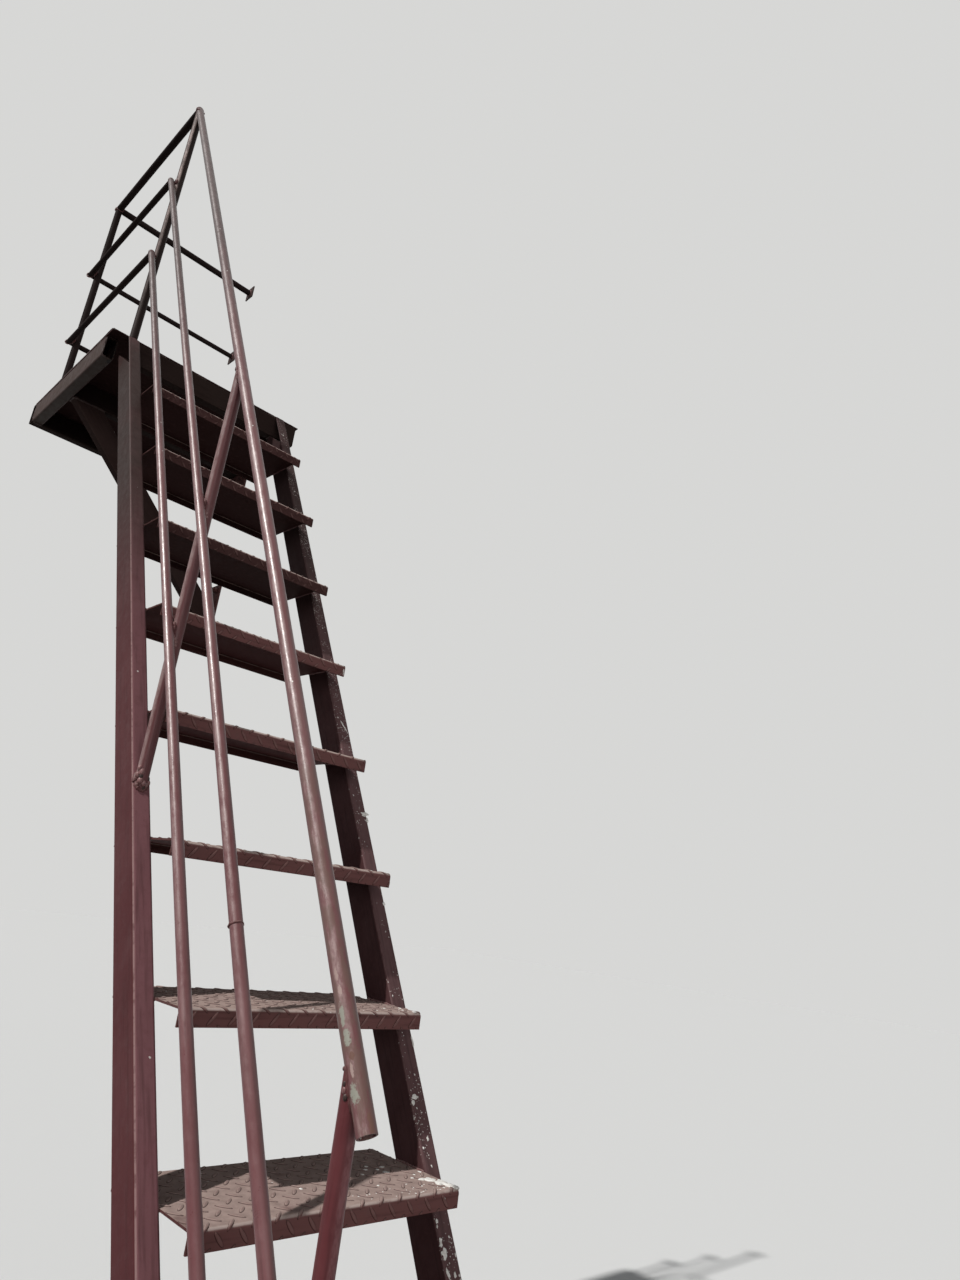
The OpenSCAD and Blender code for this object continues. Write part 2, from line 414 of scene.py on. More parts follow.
class Coat(Graph):
    """A painted member's node tree: its colour so far, and the patterns that its layers share."""

    def __init__(self, name: str, run: Run) -> None:
        """Starts with the patterns.

        Args:
            name: The material's name.
            run: The direction of the brush marks.
        """
        super().__init__(name)
        self.turn, stretch = BRUSH[run]
        self.streak = self.noise(1.0, 3.0, place=self.turned(self.place, stretch))
        self.stain = self.noise(0.8, 5.0, 0.6, self.turned(self.place, [0.3 * part for part in stretch]))
        self.cloud = self.noise(4.2, 6.0, 0.62)
        self.fine = self.noise(46.0, 5.0, 0.65)
        self.height = self.pattern("SeparateXYZ", {"Vector": self.place}, "Z")
        self.upward = self.pattern("SeparateXYZ", {"Vector": self.normal}, "Z")
        self.colour: Value = (0.0, 0.0, 0.0)

    def turned(self, place: Value, scale: Point = (1, 1, 1)) -> Pattern:
        """Returns a place or direction, turned upright with the member and then scaled."""
        turned = self.pattern("Mapping", {"Vector": place, "Rotation": self.turn}, "Vector")
        return self.pattern("VectorMath", {0: turned, 1: scale}, 0, operation="MULTIPLY")

    def facing(self, axis: str) -> Pattern:
        """Returns the part of the surface's direction along one of the member's own axes."""
        return self.pattern("SeparateXYZ", {"Vector": self.turned(self.normal)}, axis)

    def corner(self) -> Pattern:
        """Finds the member's rounded corners.

        Returns:
            A mask that is 0 on flat sides and up to 0.3 on corners.
        """
        own = self.node("SeparateXYZ", {"Vector": self.turned(self.normal)}).outputs
        x, y, z = (self.math("ABSOLUTE", part) for part in own)
        return 1.0 - self.math("MAXIMUM", self.math("MAXIMUM", x, y), z)

    def lay(self, share: Pattern, colour: Value) -> None:
        """Lays a colour over the colour so far."""
        self.colour = self.mix(share, self.colour, colour)

    def patch(self, patch: Patch) -> None:
        """Lays one ragged oval.

        Args:
            patch: Its place, sizes and colour.
        """
        offset = self.pattern("VectorMath", {0: self.place, 1: patch.middle}, 0, operation="SUBTRACT")
        sized = self.turned(offset, (1 / patch.wide, 1 / patch.wide, 1 / patch.long))
        reach = self.pattern("VectorMath", {0: sized}, "Value", operation="LENGTH")
        wander = self.math("MULTIPLY", self.noise(150.0, 5.0, 0.7), 1.8, clamp=False)
        ragged = self.math("ADD", reach, wander, clamp=False)
        thin = self.math("ADD", self.noise(260.0, 3.0), 0.55, clamp=False)
        self.lay((1.0 - ragged.ramp(1.34, 1.64)) * thin, patch.colour)

    def spots(self, scale: float, size: float, share: float) -> Pattern:
        """Returns a mask of scattered roundish spots.

        Args:
            scale: Cells for each metre.
            size: Largest radius of a spot, in cells.
            share: Share of the cells that have one.

        Returns:
            A mask of 0 and 1 with soft edges.
        """
        cells = self.node("TexVoronoi", {"Vector": self.place, "Scale": scale, "Randomness": 1.0}).outputs
        chance, radius, _ = self.node("SeparateColor", {"Color": cells["Color"]}).outputs
        reach = self.math("MULTIPLY", cells["Distance"], self.noise(scale * 1.7, 2.0) + 0.5)
        near = self.math("MULTIPLY", radius, size) - reach
        crowd = self.noise(7.0, 3.0).ramp(0.42, 0.62)
        return near.ramp(0.0, 0.05) * self.math("LESS_THAN", chance, crowd * share)


@dataclass(frozen=True)
class Paint:
    """A brushed paint that has weathered outdoors.

    Colours are linear. Chips, splashes, dust, fading, darkening higher up and edge wear are shares from 0 to
    1.
    Painted light and shade: own colours for faces that look forward and down, painted shade under the
    landing, a lighter edge colour that is partly a painted highlight, and a mottled painted highlight band.
    Spans are the heights between which a share grows, and a facing direction is the way that the side with
    the painted highlight faces.
    """

    name: str
    coat: Colour
    faded: Colour
    deep: Colour
    dust: Colour = (0.36, 0.27, 0.25)
    under: Colour = (0.16, 0.07, 0.045)
    splash: Colour = (0.62, 0.58, 0.55)
    # Darker colour for upper parts, and for the painted shade under the landing.
    upper_dark: Colour = (0.046, 0.031, 0.027)
    # Lighter edge colour: worn edges, and partly a painted highlight on rounded corners.
    edge_wear_and_glint: Colour = (0.30, 0.19, 0.185)
    # Painted light and shade on faces that look forward.
    painted_front_shading: Colour | None = None
    # Painted shade on faces that look down.
    painted_underside_shade: Colour | None = None
    bare: Colour | None = None
    # The painted highlight band: its colour, the way it faces, the heights where it fades in, and its share.
    painted_highlight: Colour = (0.40, 0.30, 0.29)
    highlight_facing: Point | None = None
    highlight_span: tuple[float, float] = (-9.0, -8.0)
    highlight_share: float = 0.85
    specular: float = 0.08
    gloss: float = 0.5
    chips: float = 0.08
    splashes: float = 0.02
    cells: float = 170.0
    dusty: float = 0.5
    fade: float = 0.5
    # Share of the darkening higher up, which on the wall-side stringer is painted shade.
    upper_darkening: float = 0.0
    upper_dark_span: tuple[float, float] = (-1.25, -0.42)
    # Share of the painted shade under the landing.
    painted_landing_shade: float = 0.0
    # Share of the lighter edge colour: wear and painted highlight.
    edge_wear_and_glint_share: float = 0.0
    bars: bool = False
    patches: tuple[Patch, ...] = ()

    def material(self, run: Run = Run.LEVEL_X) -> Material:
        """Builds or finds the material for members that run one way.

        Args:
            run: The direction of the brush marks.

        Returns:
            The material.
        """
        name = f"{self.name}_{run.value}"
        if name in bpy.data.materials:
            return bpy.data.materials[name]
        coat = Coat(name, run)
        self.brush(coat)
        chip = coat.noise(31.0, 8.0, 0.72).ramp(0.735 - 0.5 * self.chips, 0.75 - 0.5 * self.chips)
        coat.lay(chip * 0.85, self.under)
        patchy = coat.noise(9.0, 6.0, 0.6).ramp(0.28, 0.55)
        dust = coat.upward.ramp(0.35, 0.9) * self.dusty * (patchy + 0.45)
        dark_dust = tuple(0.72 * part for part in self.dust)
        coat.lay(dust, coat.mix(coat.fine.ramp(0.3, 0.75), self.dust, dark_dust))
        self.wear(coat)
        small = coat.spots(self.cells, 0.55, self.splashes)
        large = coat.spots(0.3 * self.cells, 0.36, 0.3 * self.splashes)
        splash = coat.math("MAXIMUM", small, large) * coat.upward.ramp(0.1, 0.4)
        coat.lay(splash, self.splash)
        rough = {
            "Value": coat.fine + dust * 0.8, "From Min": 0.3, "From Max": 1.1,
            "To Min": self.gloss - 0.1, "To Max": min(0.95, self.gloss + 0.32),
        }
        relief = coat.streak * 0.35 + coat.fine * 0.3 + coat.noise(420.0, 3.0) * 0.16
        relief = relief - chip * 0.18 + splash * 0.22
        return coat.close({
            "Base Color": coat.colour, "Specular IOR Level": self.specular,
            "Roughness": coat.pattern("MapRange", rough, "Result"), "Normal": coat.bump(relief, 0.55, 0.0016),
        })

    def brush(self, coat: Coat) -> None:
        """Lays the paint, brush marks and stains, darker higher up, with painted light and shade by facing
        and height.

        Args:
            coat: The material's nodes.
        """
        coat.colour = coat.mix(coat.cloud.ramp(0.36, 0.68) * self.fade, self.coat, self.faded)
        # Painted light and shade on faces that look forward: lighter lips and stringer fronts, darker fronts
        # at the landing.
        if self.painted_front_shading is not None:
            coat.lay((coat.facing("Y") * -1.0).ramp(0.70, 0.97) * 0.85, self.painted_front_shading)
        # Painted shade on faces that look down.
        if self.painted_underside_shade is not None:
            coat.lay((coat.facing("Z") * -1.0).ramp(0.70, 0.97), self.painted_underside_shade)
        # Painted shade under the landing: steep faces of the upper treads and the floor take a darker colour
        # between these heights.
        if self.painted_landing_shade:
            steep = 1.0 - coat.upward.ramp(0.2, 0.7)
            coat.lay(coat.height.ramp(-0.93, -0.79) * steep * self.painted_landing_shade, self.upper_dark)
        coat.lay(coat.streak.ramp(0.48, 0.75) * 0.45, self.deep)
        coat.lay(coat.fine.ramp(0.5, 0.72) * 0.35, self.faded)
        # Darker higher up; on the wall-side stringer this darker top is painted shade.
        if self.upper_darkening:
            coat.lay(self.upper(coat) * (coat.cloud + 0.5), self.upper_dark)
        coat.lay(coat.stain.ramp(0.56, 0.72) * 0.4, self.deep)

    def upper(self, coat: Coat) -> Pattern:
        """Returns how far the colour darkens towards the upper dark colour at each height."""
        return coat.height.ramp(*self.upper_dark_span) * self.upper_darkening

    def wear(self, coat: Coat) -> None:
        """Lays the worn corners with their painted glint, the bars' feet and crests, the painted highlight
        and the patches.

        Args:
            coat: The material's nodes.
        """
        # Lighter rounded corners: worn edges, and partly a painted highlight along them.
        if self.edge_wear_and_glint_share:
            share = coat.corner().ramp(0.05, 0.22) * self.edge_wear_and_glint_share * (coat.fine.ramp(0.34, 0.60) + 0.35)
            coat.lay(share * (1.0 - self.upper(coat) * 0.85), self.edge_wear_and_glint)
        # Painted shade and dirt at the bars' feet, and crests that are lighter partly from wear and partly as
        # a painted highlight.
        if self.bars:
            crest = coat.pattern("Attribute", {}, "Fac", attribute_name="crest")
            coat.lay((1.0 - crest.ramp(0.05, 0.72)) * 0.92, self.deep)
            coat.lay(crest.ramp(0.60, 1.0) * 0.45, self.faded)
        # Painted highlight: a mottled light band on the side that faces the given direction, fading in with
        # height.
        if self.highlight_facing is not None:
            ways = {0: coat.normal, 1: self.highlight_facing}
            lit = coat.pattern("VectorMath", ways, "Value", operation="DOT_PRODUCT")
            mottle = coat.noise(1.0, 7.0, 0.70, coat.turned(coat.place, (80, 80, 26))).ramp(0.34, 0.64)
            share = lit.ramp(0.80, 0.995) * (mottle + 0.15) * coat.height.ramp(*self.highlight_span)
            coat.lay(share * (1.0 - self.upper(coat) * 0.88) * self.highlight_share, self.painted_highlight)
        if self.bare is not None:
            thin = coat.noise(1.0, 7.0, 0.66, coat.turned(coat.place, (90, 90, 24))).ramp(0.42, 0.58)
            coat.lay((1.0 - coat.height.ramp(-1.62, -1.05)) * thin * 0.85, self.bare)
        for patch in self.patches:
            coat.patch(patch)


# Colours of ovals: SHADE is painted shade, the others are worn paint.
SHADE = (0.006, 0.004, 0.004)
PALE = (0.265, 0.262, 0.222)
PINK = (0.33, 0.235, 0.215)
BROWN = (0.135, 0.066, 0.05)
# Painted shade inside the outer beam's open end.
EDGE_PATCHES = (
    Patch((-0.694, -0.362, 0.062), 0.08, 0.034, SHADE),
    Patch((-0.702, -0.35, 0.098), 0.05, 0.03, SHADE),
)
HANDRAIL_PATCHES = (
    Patch((-0.6725, -2.1845, -1.746), 0.021, 0.0062, PALE),
    Patch((-0.6717, -2.2009, -1.7696), 0.017, 0.0075, PALE),
    Patch((-0.6729, -2.2322, -1.8265), 0.019, 0.0085, PALE),
    Patch((-0.672, -2.2207, -1.8033), 0.016, 0.0032, PINK),
    Patch((-0.6722, -2.1578, -1.701), 0.012, 0.004, PINK),
    Patch((-0.6716, -2.17, -1.7189), 0.012, 0.0038, PINK),
    Patch((-0.6702, -2.2144, -1.7877), 0.01, 0.005, BROWN),
    Patch((-0.6618, -2.2589, -1.852), 0.024, 0.006, BROWN),
)
# The outer stringer: its front-face colour is painted light, and its lighter corner colour is partly a
# painted highlight.
FRAME_PAINT = Paint(
    "frame_coat", coat=(0.074, 0.0195, 0.022), faded=(0.116, 0.047, 0.05), deep=(0.042, 0.013, 0.014),
    upper_dark=(0.027, 0.0172, 0.015), painted_front_shading=(0.2, 0.083, 0.096), gloss=0.55, chips=0.05, splashes=0.01,
    dusty=0.3, upper_darkening=0.95, edge_wear_and_glint_share=0.75,
)
# The landing's outer beam: painted shade on its front faces and underside, and in its open end.
EDGE_PAINT = replace(
    FRAME_PAINT, name="landing_edge_coat", upper_dark=(0.037, 0.025, 0.0205), deep=(0.016, 0.011, 0.01),
    painted_front_shading=(0.01, 0.007, 0.006), painted_underside_shade=(0.066, 0.044, 0.034), upper_darkening=0.9, patches=EDGE_PATCHES,
)
# A darker copy of the frame paint for the landing's beams: painted shade.
LANDING_PAINT = Paint(
    "landing_coat", coat=(0.022, 0.0135, 0.012), faded=(0.036, 0.025, 0.022), deep=(0.012, 0.007, 0.006),
    edge_wear_and_glint=(0.08, 0.058, 0.052), specular=0.03, gloss=0.75, chips=0.04, splashes=0.002, dusty=0.3, edge_wear_and_glint_share=0.35,
)
# The knee brace: a darker copy of the frame paint for painted shade, a little lighter than the landing's.
BRACE_PAINT = replace(
    LANDING_PAINT, name="brace_coat", coat=(0.04, 0.023, 0.021), faded=(0.058, 0.038, 0.035),
    deep=(0.022, 0.013, 0.012),
)
# The wall-side stringer: its front-face colour is painted light, and its darker upper part is painted shade.
WALL_SIDE_PAINT = Paint(
    "spattered_coat", coat=(0.05, 0.02, 0.021), faded=(0.098, 0.051, 0.053), deep=(0.022, 0.01, 0.011),
    painted_front_shading=(0.105, 0.054, 0.058), upper_dark=(0.024, 0.0155, 0.015), upper_darkening=0.8, edge_wear_and_glint=(0.2, 0.13, 0.13),
    specular=0.05, gloss=0.66, chips=0.06, splashes=0.32, cells=400.0, dusty=0.35, fade=0.7, edge_wear_and_glint_share=0.4,
)
# Flight rails: a mottled painted highlight band, and darker higher up.
RAIL_PAINT = Paint(
    "rail_coat", coat=(0.12, 0.034, 0.038), faded=(0.172, 0.078, 0.082), deep=(0.056, 0.017, 0.018),
    under=(0.1, 0.05, 0.034), upper_dark=(0.034, 0.022, 0.02), specular=0.4, gloss=0.34, chips=0.07,
    splashes=0.006, cells=260.0, dusty=0.35, fade=0.6, upper_darkening=0.85, upper_dark_span=(-0.7, 0.35),
    highlight_facing=(-0.83, -0.47, 0.3), highlight_span=(-2.1, -1.3), highlight_share=0.62,
)
HANDRAIL_PAINT = replace(
    RAIL_PAINT, name="handrail_coat", bare=(0.132, 0.074, 0.063), highlight_span=(-2.6, -2.2),
    patches=HANDRAIL_PATCHES,
)
# The middle post: a painted highlight band on its lit side.
POST_PAINT = replace(
    RAIL_PAINT, name="post_coat", coat=(0.112, 0.034, 0.037), faded=(0.155, 0.074, 0.077), specular=0.25,
    gloss=0.42, highlight_facing=(-0.985, -0.17, 0.0), highlight_span=(-9.0, -8.0), highlight_share=0.55,
)
# The bottom post: a painted highlight band towards the camera's right.
RED_RAIL_PAINT = Paint(
    "fresh_rail_coat", coat=(0.105, 0.026, 0.03), faded=(0.145, 0.048, 0.052), deep=(0.05, 0.013, 0.015),
    specular=0.15, gloss=0.42, chips=0.04, splashes=0.003, cells=260.0, dusty=0.25,
    highlight_facing=(0.08, -0.997, 0.0), painted_highlight=(0.26, 0.115, 0.122),
)
# Near-black rail paint for the landing's rails: painted shade, with a painted highlight band on their upper
# sides.
DARK_RAIL_PAINT = Paint(
    "landing_rail_coat", coat=(0.018, 0.012, 0.0115), faded=(0.028, 0.02, 0.019), deep=(0.01, 0.007, 0.007),
    specular=0.03, gloss=0.7, chips=0.05, splashes=0.002, dusty=0.25, fade=0.6, highlight_facing=(-0.75, 0.05, 0.66),
    painted_highlight=(0.11, 0.08, 0.068),
)
# The landing's posts: dark for painted shade, with a painted highlight band on the side towards the camera.
LANDING_POST_PAINT = replace(
    DARK_RAIL_PAINT, name="landing_post_coat", coat=(0.025, 0.016, 0.0145), faded=(0.04, 0.028, 0.026),
    deep=(0.012, 0.008, 0.007), specular=0.06, gloss=0.5, highlight_facing=(-0.8, -0.6, 0.0),
    painted_highlight=(0.4, 0.31, 0.29), highlight_span=(0.1, 0.9),
)
# Treads: lips lighter as painted light, painted shade on undersides and on the upper treads under the
# landing; the lighter edge colour is worn nosings and their glint.
TREAD_PAINT = Paint(
    "tread_coat", coat=(0.098, 0.042, 0.041), faded=(0.15, 0.086, 0.082), deep=(0.04, 0.02, 0.019),
    dust=(0.385, 0.29, 0.26), edge_wear_and_glint=(0.46, 0.37, 0.34), painted_front_shading=(0.182, 0.083, 0.08),
    painted_underside_shade=(0.08, 0.029, 0.029), upper_dark=(0.047, 0.024, 0.023), specular=0.015, gloss=0.66, splashes=0.012,
    dusty=0.92, edge_wear_and_glint_share=0.8, painted_landing_shade=0.85,
)
# Bars: lighter on the lips as painted light, painted shade and dirt at their feet, painted shade under the
# landing.
BAR_PAINT = replace(
    TREAD_PAINT, name="tread_bar_coat", faded=(0.2, 0.118, 0.11), deep=(0.038, 0.018, 0.017),
    dust=(0.4, 0.305, 0.275), painted_front_shading=(0.215, 0.108, 0.102), painted_underside_shade=None, upper_dark=(0.052, 0.027, 0.0255),
    specular=0.03, gloss=0.6, splashes=0.01, dusty=0.82, edge_wear_and_glint_share=0.0, bars=True,
)
# The landing floor: painted shade on its front edge and underside.
FLOOR_PAINT = replace(
    TREAD_PAINT, name="floor_coat", painted_front_shading=(0.03, 0.018, 0.017), painted_underside_shade=(0.018, 0.0105, 0.0095),
)
PLATE_PAINT = Paint(
    "plate_coat", coat=(0.09, 0.036, 0.035), faded=(0.135, 0.075, 0.068), deep=(0.045, 0.02, 0.018),
    gloss=0.62, chips=0.16,
)
DARK_PLATE_PAINT = replace(
    PLATE_PAINT, name="dark_plate_coat", coat=(0.036, 0.02, 0.019), faded=(0.056, 0.036, 0.033),
    deep=(0.018, 0.011, 0.01),
)
WELD_PAINT = Paint(
    "weld_coat", coat=(0.1, 0.036, 0.036), faded=(0.16, 0.082, 0.08), deep=(0.05, 0.02, 0.019),
    under=(0.09, 0.038, 0.022), specular=0.2, chips=0.14, splashes=0.006, dusty=0.3, fade=0.6,
)
# A darker copy of the weld paint for the beads under the landing, the floor's buckled edge and the pits on
# the posts: painted shade.
DARK_WELD_PAINT = replace(
    WELD_PAINT, name="dark_weld_coat", coat=(0.04, 0.024, 0.022), faded=(0.07, 0.046, 0.042),
    deep=(0.02, 0.012, 0.011),
)
# A lighter copy of the weld paint for the lumps on the posts, with their highlights painted in.
LIT_LUMP_PAINT = replace(
    WELD_PAINT, name="lit_lump_coat", coat=(0.2, 0.09, 0.09), faded=(0.3, 0.18, 0.175),
    deep=(0.07, 0.024, 0.024), specular=0.4, gloss=0.38,
)


@dataclass(frozen=True)
class Plaster:
    """Splashes of pale wall paint that have dried on the steel."""

    colour: Colour = (0.82, 0.81, 0.78)
    grey: Colour = (0.62, 0.60, 0.57)

    def material(self) -> Material:
        """Builds a matt, slightly crusted white.

        Returns:
            The material.
        """
        graph = Graph("wall_splash")
        grain = graph.noise(160.0, 5.0, 0.6)
        colour = graph.mix(grain.ramp(0.35, 0.7), self.grey, self.colour)
        return graph.close({"Base Color": colour, "Roughness": 0.88, "Normal": graph.bump(grain, 0.5, 0.001)})


def dress(paint: Paint, run: Run, *names: str) -> None:
    """Gives CAD nodes a finish.

    Args:
        paint: The finish.
        run: The direction of its brush marks.
        names: The nodes' names.
    """
    material = paint.material(run)
    for name in names:
        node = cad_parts[name]
        if not node.material_slots:
            node.data.materials.append(material)
        for slot in node.material_slots:
            slot.material = material
        LOG.info("%s: %s", name, material.name)


def walk(points: Sequence[Point], step: float, closed: bool) -> list[Vector]:
    """Places stations at even distances along a line of points.

    Args:
        points: The line's corners.
        step: Distance between stations, about.
        closed: Whether the line returns to its start.

    Returns:
        The stations.
    """
    corners = [Vector(point) for point in points]
    if closed:
        corners.append(corners[0])
    lengths = [(b - a).length for a, b in zip(corners, corners[1:])]
    count = max(4, round(sum(lengths) / step))
    stations = []
    for number in range(count if closed else count + 1):
        rest = sum(lengths) * number / count
        index = 0
        while index < len(lengths) - 1 and rest > lengths[index]:
            rest -= lengths[index]
            index += 1
        stations.append(corners[index].lerp(corners[index + 1], min(1.0, rest / max(lengths[index], 1e-9))))
    return stations


def rectangle(low: Point, high: Point, z: float) -> list[Point]:
    """Returns the corners of a level rectangle."""
    return [(low[0], low[1], z), (high[0], low[1], z), (high[0], high[1], z), (low[0], high[1], z)]


class Welder:
    """Lays rippled weld beads and joins them into one piece for each sub-assembly."""

    pitch = 0.0030

    def __init__(self, name: str, seed: int, paint: Paint = WELD_PAINT) -> None:
        """Starts with no beads.

        Args:
            name: The joined piece's name.
            seed: Seed of the beads' unevenness.
            paint: Their finish.
        """
        self.name = name
        self.paint = paint
        self.draw = random.Random(seed)
        self.beads: list[Piece] = []

    def lay(self, points: Sequence[Point], radius: float, closed: bool = False, wild: float = 1.0) -> None:
        """Lays one bead.

        Args:
            points: The line that it follows, on the surface.
            radius: Its mean radius.
            closed: Whether it runs right round.
            wild: How uneven it is.
        """
        stations = walk(points, self.pitch, closed)
        curve = bpy.data.curves.new("bead", "CURVE")
        curve.dimensions = "3D"
        curve.bevel_depth = radius
        curve.bevel_resolution = 2
        curve.use_fill_caps = not closed
        line = curve.splines.new("POLY")
        line.points.add(len(stations) - 1)
        line.use_cyclic_u = closed
        drift = 1.0
        for number, (knot, place) in enumerate(zip(line.points, stations)):
            drift = 0.8 * drift + 0.2 * (1.0 + wild * self.draw.uniform(-0.7, 0.9))
            ripple = drift * (1.0 + 0.12 * math.sin(number * 2.4) + wild * self.draw.uniform(-0.08, 0.1))
            end = 1.0 if closed else min(1.0, 0.45 + 0.3 * min(number, len(stations) - 1 - number))
            shake = Vector([wild * radius * self.draw.uniform(-0.14, 0.14) for _ in range(3)])
            knot.co = (*(place + shake), 1.0)
            knot.radius = ripple * end
        piece = bpy.data.objects.new("bead", curve)
        bpy.context.collection.objects.link(piece)
        only(piece)
        bpy.ops.object.convert(target="MESH")
        self.beads.append(bpy.context.object)

    def drop(self, place: Vector, size: Point) -> None:
        """Adds one lump of weld metal.

        Args:
            place: Its middle.
            size: Its three half sizes.
        """
        bpy.ops.mesh.primitive_ico_sphere_add(subdivisions=3, radius=1.0, location=place)
        lump = bpy.context.object
        lump.scale = size
        settle(lump)
        bpy.ops.object.mode_set(mode="EDIT")
        bpy.ops.mesh.select_all(action="SELECT")
        offset = 0.10 * min(size)
        bpy.ops.transform.vertex_random(offset=offset, uniform=0.6, normal=0.8, seed=len(self.beads))
        bpy.ops.mesh.vertices_smooth(factor=0.4)
        bpy.ops.object.mode_set(mode="OBJECT")
        self.beads.append(lump)

    def finish(self) -> None:
        """Joins the beads and dresses them."""
        finish_piece(join(self.beads), self.name, self.paint.material(), 60.0)


@dataclass
class CheckerSheet:
    """Raised bars of checker plate, laid out flat: X along the nosing, Y up the sheet, Z outward."""

    pitch: float = 0.0414
    length: float = 0.0305
    width: float = 0.0076
    height: float = 0.0018
    turn: float = math.radians(50.0)
    margin: float = 0.0006

    def bar(self) -> Piece:
        """Builds one bar with a lens-shaped outline and a crest, along X.

        Returns:
            The bar.
        """
        bpy.ops.mesh.primitive_uv_sphere_add(segments=8, ring_count=8, radius=1.0)
        bar = bpy.context.object
        bar.rotation_euler = (0.0, math.pi / 2, 0.0)
        settle(bar)
        bar.scale = (self.length / 2, self.width / 2, self.height)
        settle(bar)
        trim(bar, (0, 0, -0.25 * self.height), -UP)
        crest = bar.data.attributes.new("crest", "FLOAT", "POINT")
        crest.data.foreach_set("value", [max(0.0, vertex.co.z / self.height) for vertex in bar.data.vertices])
        return bar

    def family(self, turn: float, shift: float, width: float, depth: float) -> Piece:
        """Repeats one bar over a field.

        Args:
            turn: The bars' angle from X.
            shift: Offset of the first bar along both sides.
            width: The field's size along X.
            depth: The field's size along Y.

        Returns:
            The joined bars.
        """
        bars = self.bar()
        bars.rotation_euler = (0.0, 0.0, turn)
        bars.location = (shift - self.pitch, shift - self.pitch, 0.0)
        settle(bars)
        for axis, size in ((ACROSS, width), (ALONG, depth)):
            modify(
                bars, "ARRAY", use_relative_offset=False, use_constant_offset=True,
                constant_offset_displace=self.pitch * axis, count=math.ceil(size / self.pitch) + 3,
            )
        return bars

    def sheet(self, width: float, depth: float) -> Piece:
        """Returns both families of bars on a field that is a little larger than width by depth."""
        rising = self.family(self.turn, 0.0, width, depth)
        return join([rising, self.family(-self.turn, self.pitch / 2, width, depth)])

    def cut(self, sheet: Piece, shift: Point, width: float, depth: float) -> Piece:
        """Copies a sheet's bars, shifts their pattern and cuts them to a smaller sheet.

        Args:
            sheet: Bars from sheet().
            shift: How far the pattern moves, up to one pitch each way.
            width: The cut sheet's size along X.
            depth: The cut sheet's size along Y.

        Returns:
            The cut bars.
        """
        bars = copy_of(sheet)
        bars.location = (*shift, 0.0)
        settle(bars)
        for axis, size in ((ACROSS, width), (ALONG, depth)):
            trim(bars, self.margin * axis, -axis)
            trim(bars, (size - self.margin) * axis, axis)
        return bars


@dataclass
class Flight:
    """Stringers and treads."""

    checker: CheckerSheet = field(default_factory=CheckerSheet)

    def fold(self, bars: Piece, low: Vector, high: Vector) -> None:
        """Wraps flat bars over a tread: up its lip, round the bend and back over its top.

        Args:
            bars: Flat bars, whose Y starts at the lip's lower edge.
            low: The tread's lowest corner.
            high: The tread's highest corner.
        """
        bend, straight = SIZES.bend, SIZES.lip - SIZES.bend
        arc = bend * math.pi / 2
        for vertex in bars.data.vertices:
            along, up, out = vertex.co
            if up < straight:
                y, z = low.y - out, low.z + up
            elif up < straight + arc:
                turn = (up - straight) / bend
                y = low.y + bend - (bend + out) * math.cos(turn)
                z = high.z - bend + (bend + out) * math.sin(turn)
            else:
                y, z = low.y + bend + up - straight - arc, high.z + out
            vertex.co = (low.x + along, y, z)

    def build_bars(self) -> None:
        """Lays the raised bars on every tread, each cut from another part of the sheet."""
        low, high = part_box(TREADS[0])
        width = high.x - low.x
        depth = (SIZES.lip - SIZES.bend) + SIZES.bend * math.pi / 2 + (high.y - low.y - 2 * SIZES.bend)
        sheet = self.checker.sheet(width, depth)
        draw = random.Random(11)
        fixed = {"tread_04": (0.030, 0.035), "tread_05": (0.022, 0.014)}
        for name in TREADS:
            shift = [draw.uniform(0.0, self.checker.pitch) for _ in range(2)]
            bars = self.checker.cut(sheet, fixed.get(name, shift), width, depth)
            self.fold(bars, *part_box(name))
            finish_piece(bars, f"{name}_bars", BAR_PAINT.material(), 75.0)
        bpy.data.objects.remove(sheet, do_unlink=True)

    def build_welds(self) -> None:
        """Lays the beads that hold the treads and the stringers' feet."""
        welder = Welder("flight_welds", 3)
        gap = 0.004
        for name in TREADS:
            low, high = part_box(name)
            for x in (low.x, high.x):
                for z, drop in ((high.z, 0.0), (high.z - SIZES.plate, SIZES.plate)):
                    start = low.y + SIZES.overhang - drop / math.tan(SIZES.slope)
                    welder.lay([(x, start + gap, z), (x, start + SIZES.box_run - gap, z)], 0.0030)
        for name in ("stringer_outer", "stringer_wall"):
            low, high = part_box(name)
            foot = rectangle((low.x, low.y + gap), (high.x, low.y + SIZES.box_run - gap), low.z)
            welder.lay(foot, 0.0036, closed=True)
        welder.finish()

    def build(self) -> None:
        """Builds and dresses the whole flight."""
        dress(FRAME_PAINT, Run.SLOPE, "stringer_outer")
        dress(WALL_SIDE_PAINT, Run.SLOPE, "stringer_wall")
        dress(TREAD_PAINT, Run.LEVEL_X, *TREADS)
        self.build_bars()
        self.build_welds()


